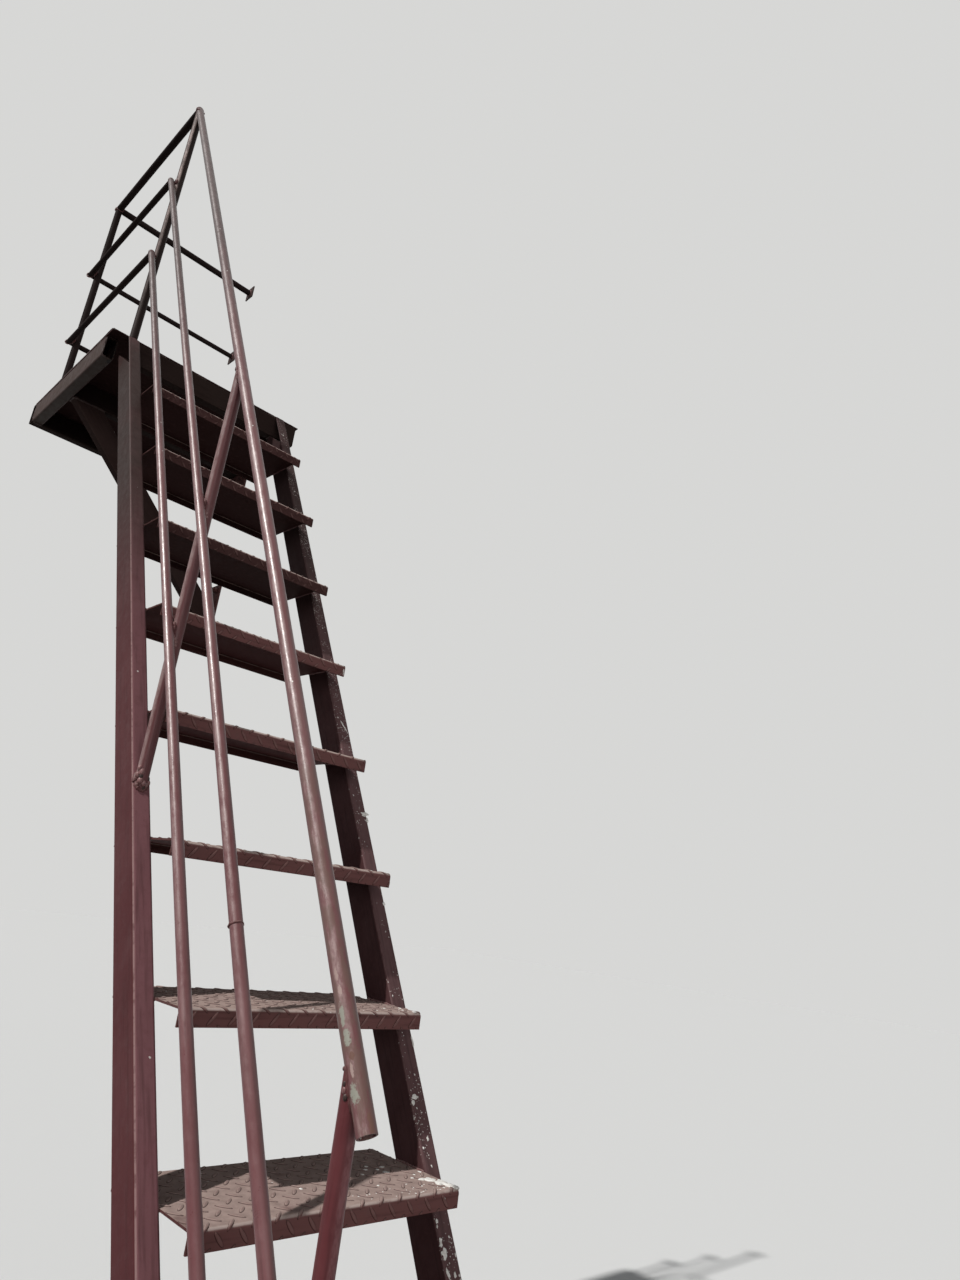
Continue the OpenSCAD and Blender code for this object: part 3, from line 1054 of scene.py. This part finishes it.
@dataclass
class Landing:
    """Landing frame, floor and knee brace."""

    checker: CheckerSheet = field(default_factory=CheckerSheet)
    edge: float = 0.014
    stitch: float = 0.04

    @property
    def base(self) -> float:
        """Height of the frame's underside."""
        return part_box("landing_front_beam")[0].z

    @property
    def top(self) -> float:
        """Height of the frame's upper side."""
        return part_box("landing_front_beam")[1].z

    def build_bars(self) -> None:
        """Lays the raised bars on the floor."""
        low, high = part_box("landing_floor")
        width, depth = high.x - low.x, high.y - low.y
        sheet = self.checker.sheet(width, depth)
        bars = self.checker.cut(sheet, (0.012, 0.031), width, depth)
        bars.location = (low.x, low.y, high.z)
        finish_piece(bars, "landing_floor_bars", BAR_PAINT.material(), 75.0)
        bpy.data.objects.remove(sheet, do_unlink=True)

    def weld_frame(self, welder: Welder) -> None:
        """Lays the frame's corner and cross beads and the floor's stitches.

        Args:
            welder: The welder that lays them.
        """
        base, top = self.base, self.top
        front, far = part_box("landing_front_beam"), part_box("landing_far_beam")
        outer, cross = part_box("landing_outer_beam"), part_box("landing_cross_beam")
        left, corner_y = outer[0].x + 0.002, outer[1].y
        welder.lay([(left, corner_y, base + 0.004), (left, corner_y, top - 0.004)], 0.0030)
        welder.lay([(left + 0.003, corner_y, base), (outer[1].x, corner_y, base)], 0.0032, wild=1.4)
        for side in cross:
            welder.lay([(cross[0].x, side.y, base + 0.006), (cross[0].x, side.y, top - 0.006)], 0.0030)
        for count in range(4):
            y = outer[0].y + 0.05 + count * (outer[1].y - outer[0].y - 0.14) / 3
            welder.lay([(left, y, top), (left, y + self.stitch, top)], 0.0022)
            x = front[0].x + 0.06 + count * 0.15
            for beam_y in (front[0].y + 0.002, far[1].y - 0.002):
                welder.lay([(x, beam_y, top), (x + self.stitch, beam_y, top)], 0.0024)

    def weld_brace(self, welder: Welder) -> None:
        """Lays the beads round the knee brace's upper and lower end.

        Args:
            welder: The welder that lays them.
        """
        low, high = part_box("knee_brace")
        reach = SIZES.box_h * math.sqrt(2.0)
        head = rectangle((low.x + 0.003, low.y), (low.x + reach, high.y), self.base)
        welder.lay(head, 0.0036, closed=True, wild=1.3)
        foot = rectangle((low.y, low.z), (high.y, low.z + reach), high.x)
        welder.lay([(x, y, z) for y, z, x in foot], 0.0036, closed=True)

    def weld_tip(self, welder: Welder, stringer: str) -> None:
        """Lays the bead between a stringer's tip and the floor's edge.

        Args:
            welder: The welder that lays it.
            stringer: The stringer's node.
        """
        low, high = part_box(stringer)
        y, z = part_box("landing_floor")[0].y - 0.0012, self.top - 0.001
        welder.lay([(low.x + 0.004, y, z), (high.x - 0.004, y, z)], 0.0024, wild=1.4)

    def weld_stringers(self, welder: Welder) -> None:
        """Lays the beads where the stringers meet the landing, and those in the outer beam's open end.

        Args:
            welder: The welder that lays them.
        """
        base, top = self.base, self.top
        (front, back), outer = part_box("landing_front_beam"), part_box("landing_outer_beam")[0]
        self.weld_tip(welder, "stringer_outer")
        welder.lay([(front.x, front.y + 0.009, base), (front.x, back.y - 0.003, base)], 0.0032, wild=1.6)
        self.weld_tip(welder, "stringer_wall")
        rear = SIZES.front_y(base) + SIZES.box_run
        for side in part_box("stringer_wall"):
            welder.lay([(side.x, front.y + 0.008, base), (side.x, rear - 0.003, base)], 0.0030)
        mouth = (
            (0.0035, top - 0.006), (0.0015, base + 0.007), (0.007, base + 0.0015), (0.016, base + 0.0015),
        )
        welder.lay([(outer.x + x, outer.y, z) for x, z in mouth], 0.0019, wild=2.6)

    def build_welds(self) -> None:
        """Lays all the landing's beads."""
        # The landing's beads take the darker weld paint: painted shade.
        welder = Welder("landing_welds", 5, DARK_WELD_PAINT)
        self.weld_frame(welder)
        self.weld_brace(welder)
        self.weld_stringers(welder)
        welder.finish()

    def build_buckle(self) -> None:
        """Builds the strip along the floor's outer edge that has buckled up off its beam."""
        low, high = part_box("landing_floor")
        length = high.y - low.y
        bpy.ops.mesh.primitive_grid_add(x_subdivisions=3, y_subdivisions=90, size=1.0)
        strip = bpy.context.object
        strip.scale = (self.edge, length - 0.04, 1.0)
        strip.location = (low.x + self.edge / 2, (low.y + high.y) / 2, high.z)
        settle(strip)
        for vertex in strip.data.vertices:
            out = (low.x + self.edge - vertex.co.x) / self.edge
            reach = vertex.co.y - low.y
            wave = 0.5 + 0.5 * math.sin(14.0 * reach + 0.6) + 0.25 * math.sin(41.0 * reach)
            vertex.co.z += 0.0004 + 0.0060 * out * max(0.0, wave) * (1.0 - 0.6 * reach / length)
        modify(strip, "SOLIDIFY", thickness=0.0032, offset=1.0)
        # The strip's dark paint is painted shade along the floor's edge.
        finish_piece(strip, "floor_edge", DARK_WELD_PAINT.material(Run.LEVEL_Y))

    def build(self) -> None:
        """Builds and dresses the whole landing."""
        # The landing's dark paints are painted shade.
        dress(LANDING_PAINT, Run.LEVEL_X, "landing_front_beam", "landing_far_beam", "landing_cross_beam")
        dress(LANDING_PAINT, Run.LEVEL_Y, "landing_wall_beam")
        dress(EDGE_PAINT, Run.LEVEL_Y, "landing_outer_beam")
        dress(BRACE_PAINT, Run.BRACE, "knee_brace")
        dress(FLOOR_PAINT, Run.LEVEL_X, "landing_floor")
        self.build_bars()
        self.build_buckle()
        self.build_welds()


# Lumps of weld metal on the posts, and dark lumps for their burnt pits and the painted shade in the gaps
# between them, in millimetres: X, Y, Z and half size.
POST_LUMPS = (
    (-672.2, -2212.8, -1827.5, 3.4), (-671.0, -1375.5, -1112.0, 4.0), (-667.8, -1378.8, -1117.5, 4.6),
    (-665.0, -1380.0, -1124.0, 4.2), (-664.2, -1380.2, -1131.0, 3.6), (-671.5, -1373.5, -1400.0, 4.6),
    (-667.5, -1378.0, -1408.0, 5.4), (-672.5, -1372.5, -1414.0, 4.4), (-667.0, -1378.5, -1425.0, 5.6),
    (-660.0, -1380.5, -1430.0, 5.2), (-647.5, -1373.0, -1427.0, 5.0), (-652.5, -1377.0, -1433.0, 4.4),
    (-670.5, -1376.0, -808.0, 3.8), (-667.0, -1379.0, -814.5, 4.4), (-664.0, -1380.5, -821.5, 3.4),
)
POST_PITS_AND_SHADE = (
    (-672.2, -2211.8, -1820.4, 2.8), (-671.8, -2216.2, -1834.6, 3.2), (-670.0, -1377.2, -1121.0, 3.6),
    (-667.5, -1379.0, -1416.5, 4.2), (-658.0, -1377.5, -1438.0, 5.0), (-650.0, -1374.0, -1419.0, 4.0),
)


@dataclass
class Railing:
    """Posts and rails."""

    flight_posts: tuple[str, ...] = ("post_bottom", "post_middle")
    landing_posts: tuple[str, ...] = ("post_landing_near", "post_landing_far")
    joint_y: float = -1.902
    sides: int = 20

    def ring(self, middle: Vector, direction: Vector, radius: float, face: Vector) -> list[Vector]:
        """Places points round a pipe where a plane cuts it.

        Args:
            middle: Where the plane meets the pipe's axis.
            direction: The pipe's direction.
            radius: The pipe's radius.
            face: The plane's normal.

        Returns:
            The points of the cut.
        """
        side = direction.orthogonal().normalized()
        other = direction.cross(side).normalized()
        spokes = [radius * (cosine * side + sine * other) for cosine, sine in circle(self.sides)]
        return [middle + spoke - direction * (spoke.dot(face) / direction.dot(face)) for spoke in spokes]

    def build_welds(self) -> None:
        """Lays the beads round posts, corners and crossings."""
        welder = Welder("railing_welds", 7)
        for name in self.flight_posts:
            middle = axis_of(name)
            foot = Vector((middle.x, middle.y, SIZES.front_z(middle.y)))
            welder.lay(self.ring(foot, UP, SIZES.post_r, SIZES.front), 0.0040, closed=True, wild=1.8)
        for name in self.landing_posts:
            middle = axis_of(name)
            foot = Vector((middle.x, middle.y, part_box(name)[0].z))
            welder.lay(self.ring(foot, UP, SIZES.post_r, UP), 0.0034, closed=True)
        pipes = (("handrail", SIZES.post_r), ("midrail", SIZES.rail_r), ("lowrail", SIZES.rail_r))
        tops = [self.weld_rail(welder, rail, radius) for rail, radius in pipes]
        welder.finish()
        # The lumps' lighter paint holds painted highlights; the pits are dark lumps in the darker weld paint,
        # which are painted shade.
        for name, paint, lumps in (
            ("post_lumps", LIT_LUMP_PAINT, POST_LUMPS),
            ("post_pits_and_shade", DARK_WELD_PAINT, POST_PITS_AND_SHADE),
        ):
            welder = Welder(name, 13, paint)
            for *place, size in lumps:
                welder.drop(Vector(place) * MM, (size * MM, 1.1 * size * MM, 1.4 * size * MM))
            welder.finish()
        finish_piece(join(tops), "rail_tops", RAIL_PAINT.material(Run.SLOPE))

    def weld_rail(self, welder: Welder, rail: str, radius: float) -> Piece:
        """Lays the beads of one rail.

        Args:
            welder: The welder that lays them.
            rail: The rail's name.
            radius: Its pipe's radius.

        Returns:
            The blunt end of its flight pipe.
        """
        flight, side, end = (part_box(f"{rail}_{part}") for part in ("flight", "side", "end"))
        x, z = (side[0].x + side[1].x) / 2, (side[0].z + side[1].z) / 2
        near = Vector((x, flight[1].y - radius * math.sin(SIZES.slope / 2) * 0.97, z))
        far = Vector((x, (end[0].y + end[1].y) / 2, z))
        top = self.blunt_top(near, radius)
        welder.lay(self.ring(near, ALONG, radius, SIZES.climb + ALONG), 0.0016, closed=True)
        welder.lay(self.ring(far, ALONG, radius, ACROSS + ALONG), 0.0026, closed=True, wild=1.3)
        welder.lay(self.ring(Vector((end[1].x, far.y, z)), ACROSS, radius, ACROSS), 0.0030, closed=True)
        for post in self.flight_posts + self.landing_posts:
            place = axis_of(post)
            along = SIZES.climb if post in self.flight_posts else ALONG
            height = near.z + (place.y - near.y) * along.z / along.y
            if rail == "handrail":
                self.collar(welder, Vector((place.x, place.y, height)), along)
                continue
            contact = Vector((place.x - SIZES.post_r, place.y, height))
            over = ACROSS.cross(along)
            loop = [contact + 0.0115 * cosine * along + 0.0085 * sine * over for cosine, sine in circle(16)]
            welder.lay(loop, 0.0036, closed=True, wild=1.8)
        if rail == "midrail":
            joint = Vector((x, self.joint_y, near.z + (self.joint_y - near.y) * math.tan(SIZES.slope)))
            welder.lay(self.ring(joint, SIZES.climb, radius, SIZES.climb), 0.0023, closed=True, wild=1.2)
        return top

    def blunt_top(self, near: Vector, radius: float) -> Piece:
        """Builds the blunt end of a flight rail, which stands a little above its corner.

        Args:
            near: Where the rail's axis turns level.
            radius: The pipe's radius.

        Returns:
            The end.
        """
        stub = cylinder(36, radius * 1.004, -0.009, 0.009)
        stub.location = near + SIZES.climb * 0.008
        stub.rotation_euler = SIZES.climb.to_track_quat("Z", "X").to_euler()
        settle(stub)
        modify(stub, "BEVEL", width=0.0012, segments=2, limit_method="ANGLE")
        return stub

    def collar(self, welder: Welder, middle: Vector, along: Vector) -> None:
        """Lays the bead where a post's coped top meets the handrail.

        Args:
            welder: The welder that lays it.
            middle: Where the post's axis meets the handrail's.
            along: The rail's direction over the post.
        """
        points = []
        for cosine, sine in circle(self.sides):
            dx, dy = SIZES.post_r * cosine, SIZES.post_r * sine
            drop = math.sqrt(max(0.0, SIZES.post_r ** 2 - dx ** 2)) / along.y
            points.append(middle + Vector((dx, dy, dy * along.z / along.y - drop)))
        welder.lay(points, 0.0024, closed=True, wild=1.7)

    def build(self) -> None:
        """Builds and dresses the whole railing."""
        paints = (RED_RAIL_PAINT, POST_PAINT, LANDING_POST_PAINT, DARK_RAIL_PAINT)
        for name, paint in zip(self.flight_posts + self.landing_posts, paints):
            dress(paint, Run.UPRIGHT, name)
        for rail, paint in (("handrail", HANDRAIL_PAINT), ("midrail", RAIL_PAINT), ("lowrail", RAIL_PAINT)):
            dress(paint, Run.SLOPE, f"{rail}_flight")
            dress(DARK_RAIL_PAINT, Run.LEVEL_Y, f"{rail}_side")
            dress(DARK_RAIL_PAINT, Run.LEVEL_X, f"{rail}_end")
        self.build_welds()


@dataclass
class Fixings:
    """Anchor plates and their bolts."""

    bolt_r: float = 0.006
    nut_r: float = 0.0105
    nut_t: float = 0.010
    washer_r: float = 0.0125
    washer_t: float = 0.0025
    thread: float = 0.001
    first_thread: float = 0.0008
    groove: float = 0.86

    def anchor(self) -> Piece:
        """Builds one anchor along +Z from its washer's middle: washer, nut and threaded end.

        Returns:
            The anchor.
        """
        top = self.washer_t / 2 + self.nut_t
        washer = cylinder(32, self.washer_r, -self.washer_t / 2, self.washer_t / 2)
        modify(washer, "BEVEL", width=0.0005, segments=1, limit_method="ANGLE")
        nut = cylinder(6, self.nut_r, self.washer_t / 2, top)
        modify(nut, "BEVEL", width=0.0009, segments=2, limit_method="ANGLE")
        stud = cylinder(20, self.bolt_r, top - 0.001, top + 0.007)
        bpy.ops.object.mode_set(mode="EDIT")
        for number in range(6):
            bpy.ops.mesh.select_all(action="SELECT")
            bpy.ops.mesh.bisect(plane_co=(0, 0, top + self.first_thread + number * self.thread), plane_no=UP)
        bpy.ops.object.mode_set(mode="OBJECT")
        for vertex in stud.data.vertices:
            if round((vertex.co.z - top - self.first_thread) / self.thread) % 2:
                vertex.co.x *= self.groove
                vertex.co.y *= self.groove
        return join([washer, nut, stud])

    def holes(self, name: str, normal: Vector) -> list[Vector]:
        """Finds a plate's four holes.

        Args:
            name: The plate's node.
            normal: The way that its outer face looks.

        Returns:
            Where the holes open on that face.
        """
        low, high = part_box(name)
        edge = SIZES.hole_edge
        rows = (low.y + edge, high.y - edge)
        if normal.z > 0.5:
            return [Vector((x, y, high.z)) for x in (low.x + edge, high.x - edge) for y in rows]
        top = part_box("landing_wall_beam")[0].z if name == "wall_plate" else high.z
        return [Vector((low.x, y, z)) for y in rows for z in (low.z + edge, top - edge)]

    def build(self) -> None:
        """Dresses the plates and sets an anchor in every hole of the four large ones."""
        master = self.anchor()
        draw = random.Random(17)
        for name, normal, part in (
            ("wall_plate", -ACROSS, "wall_anchors"), ("brace_plate", -ACROSS, "brace_anchors"),
            ("foot_plate_outer", UP, "foot_anchors_outer"), ("foot_plate_wall", UP, "foot_anchors_wall"),
        ):
            dress(PLATE_PAINT, Run.UPRIGHT, name)
            made = []
            for place in self.holes(name, normal):
                twin = copy_of(master)
                upright = normal.to_track_quat("Z", "Y").to_matrix().to_4x4()
                spin = Matrix.Rotation(draw.uniform(0, 1.0), 4, "Z")
                twin.matrix_world = Matrix.Translation(place) @ upright @ spin
                made.append(settle(twin))
            finish_piece(join(made), part, PLATE_PAINT.material(), 30.0)
        dress(DARK_PLATE_PAINT, Run.UPRIGHT, "rail_wall_pads")
        bpy.data.objects.remove(master, do_unlink=True)


@dataclass(frozen=True)
class Blob:
    """A dried splash, in millimetres and degrees.

    It lies at x and at, which is a height on the stringer and a place along Y on a tread. Wide is half
    its size along X, and long half its size along the face.
    """

    x: float
    at: float
    wide: float
    long: float
    turn: float = 0.0
    thick: float = 1.0


# Rows of Blob values.
STRINGER_BLOBS = (
    (-66, -1393, 12, 6), (-62, -1407, 3.5, 8, -10), (-64, -1603, 4.5, 4), (-63.5, -1873, 2, 12),
    (-88, -1967, 9, 4.5), (-95, -1976, 3.6, 6), (-76, -2034, 2.8, 4.5), (-92, -2047, 2.4, 2.4),
    (-95, -2152, 3.2, 4), (-97, -2159, 1.8, 3), (-95, -2178, 3.6, 4.5), (-96, -2184, 3.2, 4),
    (-92, -2196, 6.5, 8.5, 0, 1.6), (-93, -2222, 2.8, 9, 14), (-90, -2236, 3, 3), (-73, -2176, 1.8, 2.4),
    (-66, -2201, 1.8, 3.4), (-77, -2226, 2.8, 5), (-76, -1156, 2.2, 19, 25), (-80, -2310, 4, 7),
    (-68, -2450, 3, 5), (-88, -2520, 5, 6), (-74, -2700, 3, 8),
)
TREAD_BLOBS = {
    "tread_04": (
        (-122, -1808, 10, 13, 20, 2.4), (-113, -1830, 12, 16, -15, 3.2), (-108, -1850, 9, 12, 0, 3.4),
        (-105, -1861, 6, 7, 0, 3), (-134, -1800, 8, 7, 0, 1.8), (-148, -1787, 4, 3), (-383, -1766, 3.5, 4),
        (-206, -1716, 6, 3.6), (-161, -1712, 6, 3), (-174, -1740, 4, 7, 40), (-107, -1763, 3, 6),
        (-190, -1700, 4, 3), (-180, -1722, 3, 4, 20), (-150, -1730, 3, 5, -30), (-228, -1738, 3, 3),
        (-240, -1800, 2.5, 3), (-130, -1772, 2.4, 3), (-118, -1782, 3, 4),
    ),
    "tread_05": (
        (-112, -1690, 5, 6, 0, 1.6), (-125, -1668, 3, 4), (-160, -1650, 2.4, 3), (-109, -1640, 3, 6),
    ),
    "tread_03": (
        (-118, -2010, 6, 8, 0, 1.8), (-140, -1990, 3, 5), (-110, -1960, 3.4, 6),
    ),
    "tread_06": (
        (-112, -1520, 3, 5), (-130, -1500, 2.4, 3),
    ),
}


@dataclass
class Splashes:
    """Pale paint that dripped from the wall onto the wall-side stringer and the treads."""

    draw: random.Random = field(default_factory=lambda: random.Random(23))
    drops: list[Piece] = field(default_factory=list)

    def lump(self, place: Point, normal: Vector, wide: float, long: float, turn: float, thick: float) -> None:
        """Builds one splash with an uneven outline on a face that X lies in.

        Args:
            place: Its middle.
            normal: The face's direction.
            wide: Half its size along X.
            long: Half its size across X.
            turn: Its turn on the face.
            thick: How far it stands out.
        """
        bpy.ops.mesh.primitive_ico_sphere_add(subdivisions=3 if wide * long > 2.0e-5 else 2, radius=1.0)
        drop = bpy.context.object
        waves = [(self.draw.uniform(0.06, 0.16), self.draw.uniform(0.0, 6.28)) for _ in range(4)]
        for vertex in drop.data.vertices:
            angle = math.atan2(vertex.co.y, vertex.co.x)
            swell = 1.0
            for lobes, (size, phase) in enumerate(waves, 2):
                swell += size * math.sin(lobes * angle + phase)
            vertex.co.x *= swell
            vertex.co.y *= swell
        basis = Matrix((ACROSS, normal.cross(ACROSS), normal)).transposed().to_4x4()
        stretch = Matrix.Diagonal((wide, long, thick, 1.0))
        drop.matrix_world = Matrix.Translation(place) @ basis @ Matrix.Rotation(turn, 4, "Z") @ stretch
        self.drops.append(drop)

    def blob(self, place: Point, normal: Vector, blob: Blob) -> None:
        """Builds a splash of a table."""
        self.lump(place, normal, blob.wide * MM, blob.long * MM, math.radians(blob.turn), blob.thick * MM)

    def speckle(self, name: str, count: int) -> None:
        """Scatters fine specks along a tread's nosing, mostly near the wall.

        Args:
            name: The tread's node.
            count: How many there are.
        """
        low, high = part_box(name)
        for _ in range(count):
            x = high.x - 0.005 - 0.55 * (high.x - low.x) * self.draw.random() ** 1.6
            size = 0.0017 * self.draw.uniform(0.4, 1.0)
            place = (x, low.y + 0.007 + 0.05 * self.draw.random() ** 2, high.z)
            long = size * self.draw.uniform(0.8, 2.0)
            self.lump(place, UP, size, long, self.draw.uniform(-1.5, 1.5), 0.0006)

    def spray(self, count: int) -> None:
        """Scatters fine specks over the wall stringer's front face.

        Args:
            count: How many there are.
        """
        low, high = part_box("stringer_wall")
        for _ in range(count):
            z = self.draw.uniform(-2.9, -0.35)
            size = 0.0018 * self.draw.uniform(0.3, 1.0) ** 2
            place = (self.draw.uniform(low.x + 0.005, high.x - 0.005), SIZES.front_y(z), z)
            long = size * self.draw.uniform(0.9, 2.0)
            self.lump(place, SIZES.front, size, long, self.draw.uniform(-0.4, 0.4), 0.0004)

    def build(self) -> None:
        """Builds all the splashes as thin lumps."""
        for row in STRINGER_BLOBS:
            blob = Blob(*row)
            z = blob.at * MM
            self.blob((blob.x * MM, SIZES.front_y(z), z), SIZES.front, blob)
        for name, rows in TREAD_BLOBS.items():
            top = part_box(name)[1].z
            for blob in (Blob(*row) for row in rows):
                self.blob((blob.x * MM, blob.at * MM, top), UP, blob)
        for name, count in (("tread_04", 60), ("tread_05", 24), ("tread_03", 30), ("tread_06", 8)):
            self.speckle(name, count)
        self.spray(80)
        low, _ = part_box("landing_outer_beam")
        self.lump((low.x + 0.0025, low.y, low.z + 0.026), -ALONG, 0.0016, 0.0090, 0.15, 0.0010)
        low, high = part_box("tread_08")
        self.lump((high.x - 0.004, low.y, high.z - 0.019), -ALONG, 0.0020, 0.0100, 0.1, 0.0010)
        finish_piece(join(self.drops), "wall_paint_splashes", Plaster().material(), 60.0)


@dataclass
class Studio:
    """Floor, light and camera."""

    sun_from: Point = (-0.650, 0.133, 0.748)
    front_from: Point = (-0.30, -0.94, 0.06)
    lamp_colour: Colour = (1.0, 0.985, 0.96)
    pale: Colour = (0.68, 0.68, 0.67)
    sky: Colour = (0.93, 0.96, 1.0)
    sky_strength: float = 0.13
    floor_pale: Colour = (0.6727, 0.6794, 0.6808)
    floor_bounce: Colour = (0.085, 0.080, 0.076)
    eye: Point = (-1.3916, -3.1310, -1.6112)
    yaw: float = 0.74578
    pitch: float = 0.31548
    roll: float = 0.12693
    focal_px: float = 850.39
    frame_px: float = 1280.0
    sensor: float = 36.0

    def split(
        self, tree: Tree, output: str, kind: str, unseen: dict[str, object], seen: dict[str, object]
    ) -> None:
        """Shows one shader to the camera and in reflections, and lights the object with another.

        Args:
            tree: The node tree, which is emptied first.
            output: The type of its output node.
            kind: The type of both shaders.
            unseen: Inputs of the shader that lights the object.
            seen: Inputs of the shader that is seen.
        """
        tree.nodes.clear()
        path = tree.nodes.new("ShaderNodeLightPath")
        total = path.outputs["Is Camera Ray"]
        for name in ("Is Glossy Ray", "Is Transmission Ray"):
            either = tree.nodes.new("ShaderNodeMath")
            either.operation = "MAXIMUM"
            tree.links.new(total, either.inputs[0])
            tree.links.new(path.outputs[name], either.inputs[1])
            total = either.outputs[0]
        blend = tree.nodes.new("ShaderNodeMixShader")
        tree.links.new(total, blend.inputs["Fac"])
        for number, inputs in enumerate((unseen, seen), 1):
            shader = tree.nodes.new(kind)
            for key, value in inputs.items():
                shader.inputs[key].default_value = value
            tree.links.new(shader.outputs[0], blend.inputs[number])
        tree.links.new(blend.outputs["Shader"], tree.nodes.new(output).inputs["Surface"])

    def build_floor(self) -> None:
        """Lays the pale floor at the level of the foot plates' undersides."""
        low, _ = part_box("foot_plate_outer")
        bpy.ops.mesh.primitive_plane_add(size=60.0, location=(0.0, 0.0, low.z - 0.0005))
        floor = bpy.context.object
        floor.name = "studio_floor"
        material = bpy.data.materials.new("studio_floor")
        material.use_nodes = True
        self.split(
            material.node_tree, "ShaderNodeOutputMaterial", "ShaderNodeBsdfDiffuse",
            {"Color": (*self.floor_bounce, 1.0)}, {"Color": (*self.floor_pale, 1.0)},
        )
        floor.data.materials.append(material)

    def build_light(self) -> None:
        """Sets a soft key light from the open side, a weak fill and a pale backdrop."""
        for name, source, energy, angle in (
            ("key", self.sun_from, 3.4, 1.0),
            ("fill", self.front_from, 1.75, 60.0),
        ):
            lamp = bpy.data.lights.new(name, "SUN")
            lamp.energy = energy
            lamp.angle = math.radians(angle)
            lamp.color = self.lamp_colour
            stand = bpy.data.objects.new(name, lamp)
            stand.rotation_euler = Vector(source).to_track_quat("Z", "Y").to_euler()
            bpy.context.collection.objects.link(stand)
        world = bpy.data.worlds.new("studio")
        world.use_nodes = True
        self.split(
            world.node_tree, "ShaderNodeOutputWorld", "ShaderNodeBackground",
            {"Color": (*self.sky, 1.0), "Strength": self.sky_strength},
            {"Color": (*self.pale, 1.0), "Strength": 1.0},
        )
        bpy.context.scene.world = world

    def build_camera(self) -> None:
        """Stands the camera where the reference view was taken."""
        lens = bpy.data.cameras.new("view")
        lens.sensor_fit = "VERTICAL"
        lens.sensor_height = self.sensor
        lens.lens = self.sensor * self.focal_px / self.frame_px
        lens.clip_end = 200.0
        camera = bpy.data.objects.new("view", lens)
        reach = math.cos(self.pitch)
        ahead = Vector((math.sin(self.yaw) * reach, math.cos(self.yaw) * reach, math.sin(self.pitch)))
        level = Vector((math.cos(self.yaw), -math.sin(self.yaw), 0.0))
        over = level.cross(ahead)
        right = math.cos(self.roll) * level + math.sin(self.roll) * over
        up = math.cos(self.roll) * over - math.sin(self.roll) * level
        turn = Matrix((right, up, -ahead)).transposed().to_4x4()
        camera.matrix_world = Matrix.Translation(Vector(self.eye)) @ turn
        bpy.context.collection.objects.link(camera)
        bpy.context.scene.camera = camera

    def build(self) -> None:
        """Builds the studio."""
        self.build_camera()
        self.build_floor()
        self.build_light()
        bpy.context.scene.view_settings.view_transform = "Standard"


def corners(box: Iterable[Vector]) -> list[list[float]]:
    """Returns a box's corners as plain lists of numbers."""
    return [[float(part) for part in corner] for corner in box]


def main() -> None:
    """Builds the studio and every sub-assembly."""
    logging.basicConfig(level=logging.INFO, format="%(name)s: %(message)s")
    for part in (Studio(), Flight(), Landing(), Railing(), Fixings(), Splashes()):
        part.build()


if __name__ == "__main__":
    main()
